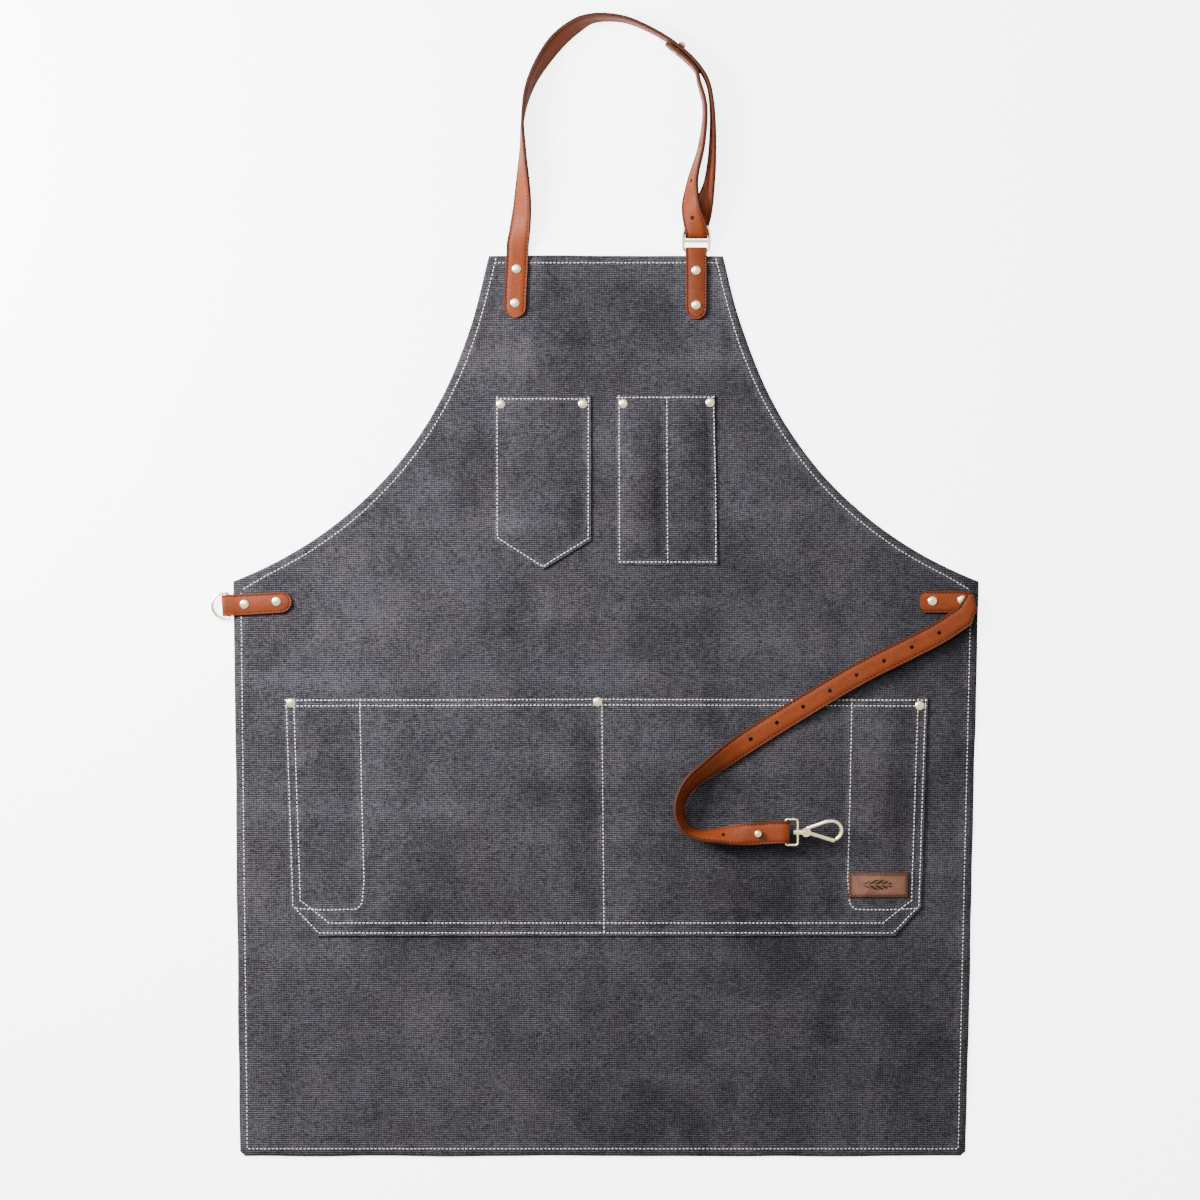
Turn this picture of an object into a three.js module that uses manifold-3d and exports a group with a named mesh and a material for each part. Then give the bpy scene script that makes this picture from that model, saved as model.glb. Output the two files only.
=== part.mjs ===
// A waxed canvas work apron lying on its back, with riveted pockets, a leather neck strap
// and a leather waist strap that ends in a swivel clasp.
// Millimetres. +X to the apron's left-hand pocket side, +Y towards the neck, +Z out of the front.

import * as THREE from "three";
import { mergeVertices } from "three/addons/utils/BufferGeometryUtils.js";
import Module from "manifold-3d";

const wasm = await Module();
wasm.setup();

// ---------------------------------------------------------------- driving dimensions

const gap = 0.3; // running clearance between pieces that move or are cut to fit
const bibHeight = 846; // bottom hem to the top of the bib
const bibHalf = 110;
const waistHeight = 540;
const waistHalf = 350;
const hemLeft = 344; // half widths of the bottom hem, which isn't quite symmetrical
const hemRight = 338;
const canvas = 0.9; // thickness of one layer of canvas
const hemWidth = 9.5;

const strapWidth = 21;
const strapThickness = 3;
const tabWidth = 20;
const wireRadius = 1.4; // of both dee rings
const pocketRoom = 5.4; // height inside a pocket
const pocketFlange = 13.4; // sewn border of a pocket, wide enough for a rivet
const pocketSlope = 5; // width of the slope from the border up to the pocket's face
const pocketRim = 9; // depth of the folded rim at a pocket's mouth

const rivetRadius = 4.2;
const rivetPost = 1.25;
const studShank = 1.9;
const holeRadius = 2;
const neckHolePitch = 35;
const waistHolePitch = 29;

// Heights of the layers above the surface that the apron lies on.
const panelBack = 2 * canvas;
const panelFront = panelBack + canvas;
const leatherTop = panelFront + strapThickness;
const flangeTop = panelFront + 2 * canvas;
const pocketFace = panelFront + pocketRoom + canvas;
const eyeHeight = panelFront + strapThickness / 2; // centre of a tab's eye
const eyeRadius = wireRadius + gap;
const eyeWall = 1.5;

// ---------------------------------------------------------------- materials

const canvasCloth = new THREE.MeshStandardMaterial({ color: 0x4b4b50, roughness: 0.95, metalness: 0 });
const leather = new THREE.MeshStandardMaterial({ color: 0xb5653a, roughness: 0.55, metalness: 0 });
const brass = new THREE.MeshStandardMaterial({ color: 0xd9cba4, roughness: 0.3, metalness: 1 });

// ---------------------------------------------------------------- solids

function solid(geometry) {
  const bare = geometry.clone();
  bare.deleteAttribute("normal");
  bare.deleteAttribute("uv");
  const merged = mergeVertices(bare, 1e-4);
  const mesh = new wasm.Mesh({
    numProp: 3,
    vertProperties: new Float32Array(merged.attributes.position.array),
    triVerts: new Uint32Array(merged.index.array),
  });
  return new wasm.Manifold(mesh);
}

function surface(manifold) {
  const mesh = manifold.getMesh();
  const geometry = new THREE.BufferGeometry();
  geometry.setAttribute("position", new THREE.BufferAttribute(mesh.vertProperties, 3));
  geometry.setIndex(new THREE.BufferAttribute(mesh.triVerts, 1));
  const faceted = geometry.toNonIndexed();
  faceted.computeVertexNormals();
  return faceted;
}

function join(solids) {
  return solids.reduce((whole, next) => whole.add(next));
}

function cut(body, tools) {
  return tools.reduce((rest, tool) => rest.subtract(tool), body);
}

function prism(shape, bottom, top, curveSegments = 12) {
  const options = { depth: top - bottom, bevelEnabled: false, curveSegments };
  return solid(new THREE.ExtrudeGeometry(shape, options).translate(0, 0, bottom));
}

function polygon(corners) {
  return new THREE.Shape(corners.map(([x, y]) => new THREE.Vector2(x, y)));
}

function box(low, high) {
  const size = high.map((value, axis) => value - low[axis]);
  const centre = high.map((value, axis) => (value + low[axis]) / 2);
  return solid(new THREE.BoxGeometry(...size).translate(...centre));
}

function pillar(x, y, radius, bottom, top, sides = 16) {
  const height = top - bottom;
  const geometry = new THREE.CylinderGeometry(radius, radius, height, sides).rotateX(Math.PI / 2);
  return solid(geometry.translate(x, y, (bottom + top) / 2));
}

// A turned piece on the Z axis, from profile points of [radius, height] that run upwards.
function turned(profile, sides = 20) {
  const points = profile.map(([radius, height]) => new THREE.Vector2(radius, height));
  return new THREE.LatheGeometry(points, sides).rotateX(Math.PI / 2);
}

function rod(curve, radius, steps, sides = 10) {
  const section = new THREE.Shape().absarc(0, 0, radius, 0, 2 * Math.PI);
  const options = { extrudePath: curve, steps, curveSegments: sides / 2, bevelEnabled: false };
  return solid(new THREE.ExtrudeGeometry(section, options));
}

function piece(name, geometry, material) {
  const mesh = new THREE.Mesh(geometry, material);
  mesh.name = name;
  return mesh;
}

// ---------------------------------------------------------------- rivets

// Each rivet is [name, x, y, height of the face that its cap sits on].
const rivets = [
  ["neck_strap_upper", -84, 833.5, leatherTop],
  ["neck_strap_lower", -85.5, 801.5, leatherTop],
  ["neck_tab_upper", 84.5, 832, leatherTop],
  ["neck_tab_lower", 84.5, 799.5, leatherTop],
  ["waist_tab_outer", -339.5, 518.7, leatherTop],
  ["waist_tab_inner", -309.5, 521.3, leatherTop],
  ["waist_strap_outer", 334.3, 522.5, leatherTop],
  ["waist_strap_inner", 306.4, 521.7, leatherTop],
  ["pen_pocket_outer", -99, 706.5, flangeTop],
  ["pen_pocket_inner", -21.8, 706.8, flangeTop],
  ["chest_pocket_inner", 16.3, 707, flangeTop],
  ["chest_pocket_outer", 97.7, 708, flangeTop],
  ["lower_pocket_left", -295.8, 426, flangeTop],
  ["lower_pocket_middle", -7.8, 427, flangeTop],
  ["lower_pocket_right", 294.4, 423.5, flangeTop],
];
const rivetBackHeight = 1.2;
const rivetBackRadius = 3.5;
const postEnd = 1.3; // height at which every rivet's post ends, inside its back

// The round holes that the rivets' posts need between two heights.
function rivetHoles(bottom, top) {
  return rivets.map(([, x, y]) => pillar(x, y, rivetPost + gap, bottom - 1, top + 1, 12));
}

function rivetPair([name, x, y, seat]) {
  const cap = piece(`rivet_cap_${name}`, turned([
    [0, postEnd - seat],
    [rivetPost, postEnd - seat],
    [rivetPost, 0],
    [rivetRadius, 0],
    [rivetRadius, 0.5],
    [0.8 * rivetRadius, 1.2],
    [0.4 * rivetRadius, 1.5],
    [0, 1.6],
  ], 16), brass);
  cap.position.set(x, y, seat);
  const back = piece(`rivet_back_${name}`, turned([
    [0, -rivetBackHeight],
    [0.85 * rivetBackRadius, -rivetBackHeight],
    [rivetBackRadius, 0.25 - rivetBackHeight],
    [rivetBackRadius, 0],
    [rivetPost + gap, 0],
    [rivetPost + gap, postEnd - gap - panelBack],
    [0, postEnd - gap - panelBack],
  ], 16), brass);
  back.position.set(x, y, panelBack);
  return [cap, back];
}

// ---------------------------------------------------------------- apron body

function apronOutline(corner) {
  const outline = new THREE.Shape();
  outline.moveTo(hemRight - corner, 0);
  outline.quadraticCurveTo(hemRight, 0, hemRight, corner);
  outline.lineTo(waistHalf, waistHeight);
  outline.bezierCurveTo(147, 621, 124, 795, bibHalf, bibHeight);
  outline.lineTo(-bibHalf, bibHeight);
  outline.bezierCurveTo(-124, 795, -147, 621, -waistHalf, waistHeight);
  outline.lineTo(-hemLeft, corner);
  outline.quadraticCurveTo(-hemLeft, 0, corner - hemLeft, 0);
  outline.closePath();
  return outline;
}

// An outline's points moved inwards, with its corners mitred.
function inset(outline, distance) {
  const drawn = outline.getPoints(16);
  const points = drawn.filter((point, i) => point.distanceTo(drawn[(i + 1) % drawn.length]) > 0.01);
  const count = points.length;
  return points.map((point, i) => {
    const before = points[(i + count - 1) % count];
    const after = points[(i + 1) % count];
    const into = new THREE.Vector2().subVectors(point, before).normalize();
    const out = new THREE.Vector2().subVectors(after, point).normalize();
    const bisector = new THREE.Vector2(-into.y - out.y, into.x + out.x).normalize();
    const reach = distance / (bisector.x * -into.y + bisector.y * into.x);
    return point.clone().addScaledVector(bisector, reach);
  });
}

function apronBody() {
  const sheet = prism(apronOutline(5), 0, panelFront, 16);
  const behindPanel = prism(new THREE.Shape(inset(apronOutline(0), hemWidth)), -1, panelBack);
  const backSeats = rivets.map(([, x, y]) => pillar(x, y, rivetBackRadius + gap, -1, panelBack));
  const body = cut(sheet, [behindPanel, ...backSeats, ...rivetHoles(panelBack, panelFront)]);
  return piece("apron_body", surface(body), canvasCloth);
}

// ---------------------------------------------------------------- pockets

// A compartment's raised form: its outline at the panel, sloping up to a flat face.
function pillow(outline, rise, growth = 0) {
  const options = {
    depth: 0.02,
    bevelThickness: rise,
    bevelSize: pocketSlope,
    bevelOffset: growth - pocketSlope,
    bevelSegments: 3,
    curveSegments: 4,
  };
  return solid(new THREE.ExtrudeGeometry(outline, options).translate(0, 0, panelFront - 0.02));
}

// A patch pocket: a doubled border sewn to the panel and a raised face open at the top.
function pocket(name, outline, mouth, compartments) {
  const border = prism(outline, panelFront, flangeTop);
  const wholeHeight = prism(outline, panelFront, pocketFace + 1);
  const faces = compartments.map((shape) => pillow(shape, pocketRoom + canvas, canvas));
  const belowRim = box([-400, 0, 0], [400, mouth - pocketRim, 2 * pocketFace]);
  const rooms = compartments.map((shape) => pillow(shape, pocketRoom).intersect(belowRim));
  const mouths = compartments.map((shape) => pillow(shape, pocketRoom - canvas));
  const raised = join(faces).intersect(wholeHeight);
  const shell = cut(border.add(raised), [...rooms, ...mouths, ...rivetHoles(panelFront, flangeTop)]);
  return piece(name, surface(shell), canvasCloth);
}

const overMouth = 30; // how far a compartment's form runs past the pocket's open top

function penPocket() {
  const left = -105;
  const right = -14;
  const top = 713.5;
  const shoulder = 578;
  const tip = 552;
  const middle = (left + right) / 2;
  const outline = polygon([[left, top], [left, shoulder], [middle, tip], [right, shoulder], [right, top]]);
  const inner = pocketFlange;
  const room = polygon([
    [left + inner, top + overMouth],
    [left + inner, shoulder + 0.6 * inner],
    [middle, tip + 1.2 * inner],
    [right - inner, shoulder + 0.6 * inner],
    [right - inner, top + overMouth],
  ]);
  return pocket("pen_pocket", outline, top, [room]);
}

function chestPocket() {
  const left = 9;
  const right = 104;
  const top = 713.5;
  const bottom = 556;
  const divider = 57;
  const halfSeam = 1;
  const outline = polygon([[left, top], [left, bottom], [right, bottom], [right, top]]);
  const room = (from, to) => polygon([
    [from, top + overMouth], [from, bottom + 8], [to, bottom + 8], [to, top + overMouth],
  ]);
  return pocket("chest_pocket", outline, top, [
    room(left + pocketFlange, divider - halfSeam),
    room(divider + halfSeam, right - pocketFlange),
  ]);
}

function lowerPocket() {
  const top = 429;
  const bottom = 207.5;
  const topHalf = 302;
  const bottomHalf = 296;
  const chamferWidth = 25;
  const chamferHeight = 27;
  const divider = -2.5;
  const middleRivet = -7.8;
  const toolSeam = 229;
  const toolBottom = 232.5;
  const halfSeam = 1;
  const outline = polygon([
    [-topHalf, top],
    [-bottomHalf, bottom + chamferHeight],
    [chamferWidth - bottomHalf, bottom],
    [bottomHalf - chamferWidth, bottom],
    [bottomHalf, bottom + chamferHeight],
    [topHalf, top],
  ]);
  const room = (from, to, floor) => polygon([
    [from, top + overMouth], [from, floor], [to, floor], [to, top + overMouth],
  ]);
  const sideRoom = bottomHalf - pocketFlange;
  return pocket("lower_pocket", outline, top, [
    room(-sideRoom, -toolSeam - halfSeam, toolBottom),
    room(halfSeam - toolSeam, middleRivet - rivetRadius - canvas - gap, bottom + 8),
    room(divider + halfSeam, toolSeam - halfSeam, bottom + 8),
    room(toolSeam + halfSeam, sideRoom, toolBottom),
  ]);
}

function leatherLabel() {
  const width = 56;
  const height = 23.5;
  const thickness = 1.5;
  const plate = new THREE.BoxGeometry(width, height, thickness);
  plate.translate(255.7, 255.3, pocketFace + thickness / 2);
  return piece("leather_label", plate, leather);
}

// ---------------------------------------------------------------- straps

// A strap's course. Each row is [x, y, z, side, lean]: a point on the middle of the strap, the
// heading in degrees of the strap's right-hand edge, and how far that edge is raised in degrees.
function strapCourse(rows) {
  const line = new THREE.CatmullRomCurve3(rows.map(([x, y, z]) => new THREE.Vector3(x, y, z)));
  line.arcLengthDivisions = 600;
  const turns = rows.map(([, , , side, lean]) => new THREE.Vector3(side, lean, 0));
  const turning = new THREE.CatmullRomCurve3(turns, false, "catmullrom", 0.4);
  const length = line.getLength();

  // The matrix whose axes run across the strap, along it and out of its face.
  function frame(distance) {
    const t = line.getUtoTmapping(0, distance);
    const { x: side, y: lean } = turning.getPoint(t);
    const heading = THREE.MathUtils.degToRad(side);
    const raise = THREE.MathUtils.degToRad(lean);
    const level = Math.cos(raise);
    const across = new THREE.Vector3(level * Math.cos(heading), level * Math.sin(heading), Math.sin(raise));
    const along = line.getTangent(t);
    const normal = new THREE.Vector3().crossVectors(across, along).normalize();
    across.crossVectors(along, normal);
    return new THREE.Matrix4().makeBasis(across, along, normal).setPosition(line.getPoint(t));
  }

  // The distance along the strap, past a starting distance, at which it comes nearest a point.
  function nearest(x, y, from, to) {
    let best = from;
    let least = Infinity;
    for (let distance = from; distance <= to; distance += 0.5) {
      const point = line.getPoint(line.getUtoTmapping(0, distance));
      const away = Math.hypot(point.x - x, point.y - y);
      if (away < least) {
        least = away;
        best = distance;
      }
    }
    return best;
  }

  return { frame, length, nearest };
}

const roundEnd = (fromEnd, radius) => Math.sqrt(Math.max(0, radius ** 2 - (radius - fromEnd) ** 2));

// The distances at which a strap needs a cross-section: wherever its frame has turned enough.
function strapStations(course, end) {
  const facing = (distance) => new THREE.Quaternion().setFromRotationMatrix(course.frame(distance));
  const mostTurn = THREE.MathUtils.degToRad(9);
  const stations = [0];
  let last = facing(0);
  for (let distance = 0.5; distance < end; distance += 0.5) {
    const here = facing(distance);
    if (here.angleTo(last) > mostTurn || distance - stations.at(-1) > 30) {
      stations.push(distance);
      last = here;
    }
  }
  return [...stations, end];
}

// A flat strap swept along its course. Each end is "round", "thin" (tapered at a living hinge)
// or "square".
function strap(course, end, endKinds) {
  const radius = strapWidth / 2;
  const thinLength = 6;
  const thinHalf = 0.4;
  const extra = {
    round: [12, 25, 40, 57, 75].map((angle) => radius * (1 - Math.cos(THREE.MathUtils.degToRad(angle)))),
    thin: [0, thinLength],
    square: [0],
  };
  const [atStart, atEnd] = endKinds.map((kind) => extra[kind]);
  const clear = (distance) => distance > Math.max(...atStart) + 1 && end - distance > Math.max(...atEnd) + 1;
  const stations = [
    ...atStart,
    ...strapStations(course, end).filter(clear),
    ...atEnd.map((distance) => end - distance).reverse(),
  ];
  const positions = [];
  for (const distance of stations) {
    const frame = course.frame(distance);
    let half = radius;
    let thick = strapThickness / 2;
    endKinds.forEach((kind, which) => {
      const fromEnd = which === 0 ? distance : end - distance;
      if (kind === "round" && fromEnd < radius) {
        half = Math.min(half, roundEnd(fromEnd, radius));
      }
      if (kind === "thin" && fromEnd < thinLength) {
        thick = Math.min(thick, thinHalf + ((strapThickness / 2 - thinHalf) * fromEnd) / thinLength);
      }
    });
    for (const [across, out] of [[-1, -1], [1, -1], [1, 1], [-1, 1]]) {
      positions.push(...new THREE.Vector3(across * half, 0, out * thick).applyMatrix4(frame));
    }
  }
  const index = [0, 1, 2, 0, 2, 3];
  for (let row = 0; row < stations.length - 1; row += 1) {
    for (let side = 0; side < 4; side += 1) {
      const a = 4 * row + side;
      const b = 4 * row + ((side + 1) % 4);
      index.push(a, a + 4, b + 4, a, b + 4, b);
    }
  }
  const last = 4 * (stations.length - 1);
  index.push(last, last + 2, last + 1, last, last + 3, last + 2);
  const geometry = new THREE.BufferGeometry();
  geometry.setAttribute("position", new THREE.Float32BufferAttribute(positions, 3));
  geometry.setIndex(index);
  return solid(geometry);
}

// A round hole through a strap, from one height to another along its face's normal.
function strapHole(frame, radius, bottom, top) {
  const tool = new THREE.CylinderGeometry(radius, radius, top - bottom, 12).rotateX(Math.PI / 2);
  return solid(tool.translate(0, 0, (bottom + top) / 2).applyMatrix4(frame));
}

const throughStrap = strapThickness / 2 + 1;

// A collar stud: the screw's head, the fixed layer, the flange, the buttoned layer, the knob.
const flangeThickness = 0.6;
const studRoom = flangeThickness + 2 * gap; // space between the two layers at a stud
const layerPitch = strapThickness + studRoom;

function collarStud(name, frame) {
  const face = strapThickness / 2;
  const flange = -face - gap;
  const back = flange - flangeThickness - gap - strapThickness;
  const stud = piece(`${name}_stud`, turned([
    [0, flange - 1.2],
    [0.55 * studShank + gap, flange - 1.2],
    [0.55 * studShank + gap, back + 0.1],
    [studShank - gap, back + 0.1],
    [studShank - gap, flange - flangeThickness],
    [rivetRadius, flange - flangeThickness],
    [rivetRadius, flange],
    [studShank - gap, flange],
    [studShank - gap, face + 0.8],
    [3.2, face + 1.4],
    [3.7, face + 2.8],
    [3, face + 4.4],
    [1.5, face + 5.2],
    [0, face + 5.4],
  ]), brass);
  const screw = surface(cut(
    solid(turned([
      [0, back - 1.3],
      [3, back - 1.3],
      [rivetRadius, back - 0.9],
      [rivetRadius, back - gap],
      [0.55 * studShank, back - gap],
      [0.55 * studShank, flange - 1.5],
      [0, flange - 1.5],
    ])),
    [box([-rivetRadius - 1, -0.4, back - 2], [rivetRadius + 1, 0.4, back - 0.8])],
  ));
  const pair = new THREE.Group();
  pair.add(stud, piece(`${name}_screw`, screw, brass));
  pair.applyMatrix4(frame);
  return pair;
}

// ---------------------------------------------------------------- tabs and rings

// A leather tab folded round a dee ring's bar, lying along +Y with its eye's centre at y = 0.
// The eye may be a slot that is longer than the bar needs.
function foldedTab(length, slot) {
  const outer = eyeRadius + eyeWall;
  const leafAngle = Math.asin(strapThickness / 2 / outer);
  const side = new THREE.Shape();
  side.absarc(0, 0, outer, -Math.PI / 2, Math.PI / 2);
  side.lineTo(-slot, outer);
  side.absarc(-slot, 0, outer, Math.PI / 2, Math.PI - leafAngle);
  side.lineTo(-length, strapThickness / 2);
  side.lineTo(-length, -strapThickness / 2);
  side.absarc(-slot, 0, outer, Math.PI + leafAngle, 1.5 * Math.PI);
  const eye = new THREE.Path();
  eye.absarc(0, 0, eyeRadius, -Math.PI / 2, Math.PI / 2);
  eye.absarc(-slot, 0, eyeRadius, Math.PI / 2, 1.5 * Math.PI);
  side.holes.push(eye);
  const options = { depth: tabWidth, bevelEnabled: false, curveSegments: 8 };
  const profile = new THREE.ExtrudeGeometry(side, options).translate(0, 0, -tabWidth / 2);
  return profile.rotateX(Math.PI / 2).rotateZ(Math.PI / 2);
}

function roundedPlan(length, beyond) {
  const plan = new THREE.Shape();
  const half = tabWidth / 2;
  plan.moveTo(half, beyond);
  plan.lineTo(-half, beyond);
  plan.lineTo(-half, half - length);
  plan.absarc(0, half - length, half, Math.PI, 2 * Math.PI);
  plan.closePath();
  return plan;
}

// A dee ring in the XY plane with its bar along X through the origin and its bow towards +Y.
const deeHalf = tabWidth / 2 + 2 * gap + wireRadius + 0.1;

function deePath(straight) {
  const corner = 3;
  const path = new THREE.CurvePath();
  const at = (x, y) => new THREE.Vector3(x, y, 0);
  const arc = (x, y, radius, from, to) => {
    const points = [];
    const count = Math.max(3, Math.round(Math.abs(to - from) / 0.3));
    for (let i = 0; i <= count; i += 1) {
      const angle = from + ((to - from) * i) / count;
      points.push(at(x + radius * Math.cos(angle), y + radius * Math.sin(angle)));
    }
    return new THREE.CatmullRomCurve3(points);
  };
  path.add(new THREE.LineCurve3(at(corner - deeHalf, 0), at(deeHalf - corner, 0)));
  path.add(arc(deeHalf - corner, corner, corner, -Math.PI / 2, 0));
  path.add(new THREE.LineCurve3(at(deeHalf, corner), at(deeHalf, straight)));
  path.add(arc(0, straight, deeHalf, 0, Math.PI));
  path.add(new THREE.LineCurve3(at(-deeHalf, straight), at(-deeHalf, corner)));
  path.add(arc(corner - deeHalf, corner, corner, Math.PI, 1.5 * Math.PI));
  return path;
}

function closedWire(path, radius, steps, sides = 10) {
  return solid(new THREE.TubeGeometry(path, steps, radius, sides, true));
}

function crossBar(y, half, radius) {
  return solid(new THREE.CylinderGeometry(radius, radius, 2 * half, 10).rotateZ(Math.PI / 2).translate(0, y, 0));
}

// ---------------------------------------------------------------- neck strap

const neckEyeY = bibHeight + 4.7; // the ring's bar and the strap's bend share this line
const neckTabX = 84.7;
const neckStrapX = -83;
const ringTilt = 10; // degrees that the neck ring is raised by the strap through it

const neckTurn = { y: 867.9, z: 7.2, radius: 5 }; // where the strap turns back through the ring

const outward = [
  [neckStrapX, neckEyeY, eyeHeight, 0, 0],
  [-82.8, 856.5, 4.5, 0, 6],
  [-81, 868, 5.9, 0, 21],
  [-78.5, 893, 8.6, 0, 40],
  [-78, 944, 11.2, 0, 78],
  [-77.8, 976, 11.4, -4, 90],
  [-70, 1008, 11.2, -24, 107],
  [-48, 1043.5, 9.9, -38, 127],
  [-27.5, 1061, 10.6, -54, 118],
  [-13.5, 1067.3, 11.2, -74, 102],
  [3, 1068.3, 11.4, -90, 96],
  [20.5, 1065.6, 11.5, -103, 92],
  [44, 1055.5, 11.5, -118, 90],
  [61.5, 1045, 11.5, -128, 90],
  [68.6, 1039.4, 11.5, -128, 90],
  [75.7, 1033.8, 11.5, -128, 90],
  [88, 1020.5, 11.5, -143, 90],
  [95.5, 1007, 11.5, -160, 91],
  [99.3, 985, 11.5, -174, 94],
  [99.8, 948.5, 11.4, -180, 101],
  [97, 915, 10.9, -180, 113],
  [91.5, 892, 8, -180, 142],
  [87, 878, 3.2, -180, 170],
];
const homeward = [
  [79.5, 890, 16, -180, 142],
  [81, 915, 13.2, -180, 113],
  [89.5, 948.5, 11.8, -180, 101],
  [92.6, 985, 11.5, -174, 94],
  [87, 1008, 11.5, -158, 91],
];

// The turn through the ring, seen from the side as half a circle, and the buttoned end.
function neckCourse() {
  const turn = [];
  for (let angle = -90; angle <= 90; angle += 45) {
    const bend = THREE.MathUtils.degToRad(angle);
    const y = neckTurn.y - neckTurn.radius * Math.cos(bend);
    turn.push([neckTabX, y, neckTurn.z + neckTurn.radius * Math.sin(bend), -180, 180]);
  }
  const doubled = outward.filter(([x, y]) => x > 40 && y > 1020).reverse();
  const buttoned = doubled.map(([x, y, z, side, lean]) => {
    const inwards = THREE.MathUtils.degToRad(side);
    return [x + layerPitch * Math.cos(inwards), y + layerPitch * Math.sin(inwards), z, side, lean];
  });
  return strapCourse([...outward, ...turn, ...homeward, ...buttoned]);
}

function neckLoop() {
  const course = neckCourse();
  const turnAt = course.nearest(neckTabX, neckTurn.y - neckTurn.radius, 200, course.length);
  const studAt = course.nearest(68.6, 1039.5, 100, turnAt);
  const end = course.nearest(55.5, 1043.5, turnAt, course.length);
  const buttonAt = course.nearest(66, 1036.6, turnAt, end);
  const holes = [strapHole(course.frame(studAt), studShank, -layerPitch - throughStrap, throughStrap)];
  for (let count = 2; count <= 6; count += 1) {
    const frame = course.frame(buttonAt - count * neckHolePitch + 8);
    holes.push(strapHole(frame, holeRadius, -throughStrap, throughStrap));
  }
  const body = cut(strap(course, end, ["thin", "round"]), holes);
  const loop = piece("neck_strap", surface(body), leather);
  return [loop, collarStud("neck", course.frame(studAt))];
}

function neckAnchor() {
  const course = strapCourse([
    [-85.5, 787.5, eyeHeight, 0, 0],
    [-85, 810, eyeHeight, 0, 0],
    [-83.6, 835, eyeHeight, 0, 0],
    [neckStrapX, neckEyeY - 0.4 - gap, eyeHeight, 0, 0],
  ]);
  const anchor = strap(course, course.length, ["round", "thin"]);
  const drilled = cut(anchor, rivetHoles(panelFront, leatherTop));
  return piece("neck_strap_anchor", surface(drilled), leather);
}

function neckTab() {
  const length = neckEyeY - 786;
  const plan = prism(roundedPlan(length, 10), -10, 10);
  const tab = solid(foldedTab(length, 0)).intersect(plan).translate([neckTabX, neckEyeY, eyeHeight]);
  return piece("neck_tab", surface(cut(tab, rivetHoles(panelFront, leatherTop))), leather);
}

function neckRing() {
  const barSpacing = 8.8;
  const wire = closedWire(deePath(14.6), wireRadius, 56);
  const ring = surface(wire.add(crossBar(barSpacing, deeHalf, 0.9 * wireRadius)));
  const mesh = piece("neck_ring", ring, brass);
  mesh.rotation.x = THREE.MathUtils.degToRad(ringTilt);
  mesh.position.set(neckTabX, neckEyeY, eyeHeight);
  return mesh;
}

// ---------------------------------------------------------------- waist tab and ring

const waistTabTilt = 3.4; // degrees by which the tab's inner end is raised
const waistEyeX = -354;
const waistEyeY = 517.6;
const waistSlot = 3.4; // how far the eye runs past the ring's bar

function waistTab() {
  const length = 59;
  const group = new THREE.Group();
  const plan = prism(roundedPlan(length + waistSlot, 10), -10, 10);
  const bare = solid(foldedTab(length + waistSlot, waistSlot)).intersect(plan).translate([0, waistSlot, 0]);
  const placed = bare.rotate([0, 0, 90 + waistTabTilt]).translate([waistEyeX, waistEyeY, eyeHeight]);
  const tab = piece("waist_tab", surface(cut(placed, rivetHoles(panelFront, leatherTop))), leather);
  const ring = piece("waist_ring", surface(closedWire(deePath(3.6), wireRadius, 48)), brass);
  ring.rotation.z = THREE.MathUtils.degToRad(90 + waistTabTilt);
  ring.position.set(waistEyeX, waistEyeY, eyeHeight);
  group.add(tab, ring);
  return group;
}

// ---------------------------------------------------------------- waist strap

const foldX = 343.5; // where the anchor's middle line meets the fold
const foldY = 521;
const foldLean = 0.294; // sideways run of the fold line for each millimetre up
const foldedGap = 1.9; // between the anchor and the strap folded over it and over its rivet
const foldedHeight = leatherTop + foldedGap + strapThickness / 2;
const lyingHeight = pocketFace + gap + strapThickness / 2; // the strap flat on a pocket's face
const claspAxis = { x: 167.5, y: 306, z: pocketFace + 13.4 }; // the clasp's bar in the strap's end
const loopWire = 1.2;
const loopTurn = loopWire + gap + strapThickness / 2;

const foldLine = (y) => foldX - foldLean * (y - foldY);

function waistAnchor() {
  const half = strapWidth / 2;
  const left = 295;
  const bevel = 3.5;
  const end = polygon([
    [left, foldY - half + 2 * bevel],
    [left + bevel, foldY - half],
    [foldLine(foldY - half), foldY - half],
    [foldLine(foldY + half), foldY + half],
    [left + bevel, foldY + half],
    [left, foldY + half - 2 * bevel],
  ]);
  const plate = prism(end, panelFront, leatherTop);
  return piece("waist_strap_anchor", surface(cut(plate, rivetHoles(panelFront, leatherTop))), leather);
}

const diagonal = [
  [358, 522.2, foldedHeight, 122, 0],
  [345, 513.6, foldedHeight, 122, 0],
  [312, 491.8, foldedHeight + 0.6, 121, 0],
  [286.5, 478.5, lyingHeight - 0.4, 119, 0],
  [239.5, 455, lyingHeight, 118, 0],
  [188.5, 425, lyingHeight, 120, 0],
  [134.5, 391.5, lyingHeight + 0.9, 122, 3],
];
// Heights here are above the pockets' faces.
const bend = [
  [116, 379.5, 5.4, 124, 18],
  [99, 367.5, 7.9, 128, 35],
  [79.2, 351.8, 9.8, 146, 50],
  [69.4, 335.2, 10.8, 171, 62],
  [68.8, 320.4, 11.1, 196, 66],
  [75, 308.6, 11.4, 225, 68],
  [87, 303, 11.8, 255, 66],
  [104, 302.4, 12.4, 268, 56],
  [120, 303.2, 13.4, 270, 30],
  [134, 304.2, 14.1, 270, 2],
  [141.5, 304.8, 14.2, 270, 0],
  [149, 305.3, 14.3, 270, 0],
  [158, 305.8, 15.4, 270, 0],
].map(([x, y, height, side, lean]) => [x, y, pocketFace + height, side, lean]);

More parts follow.
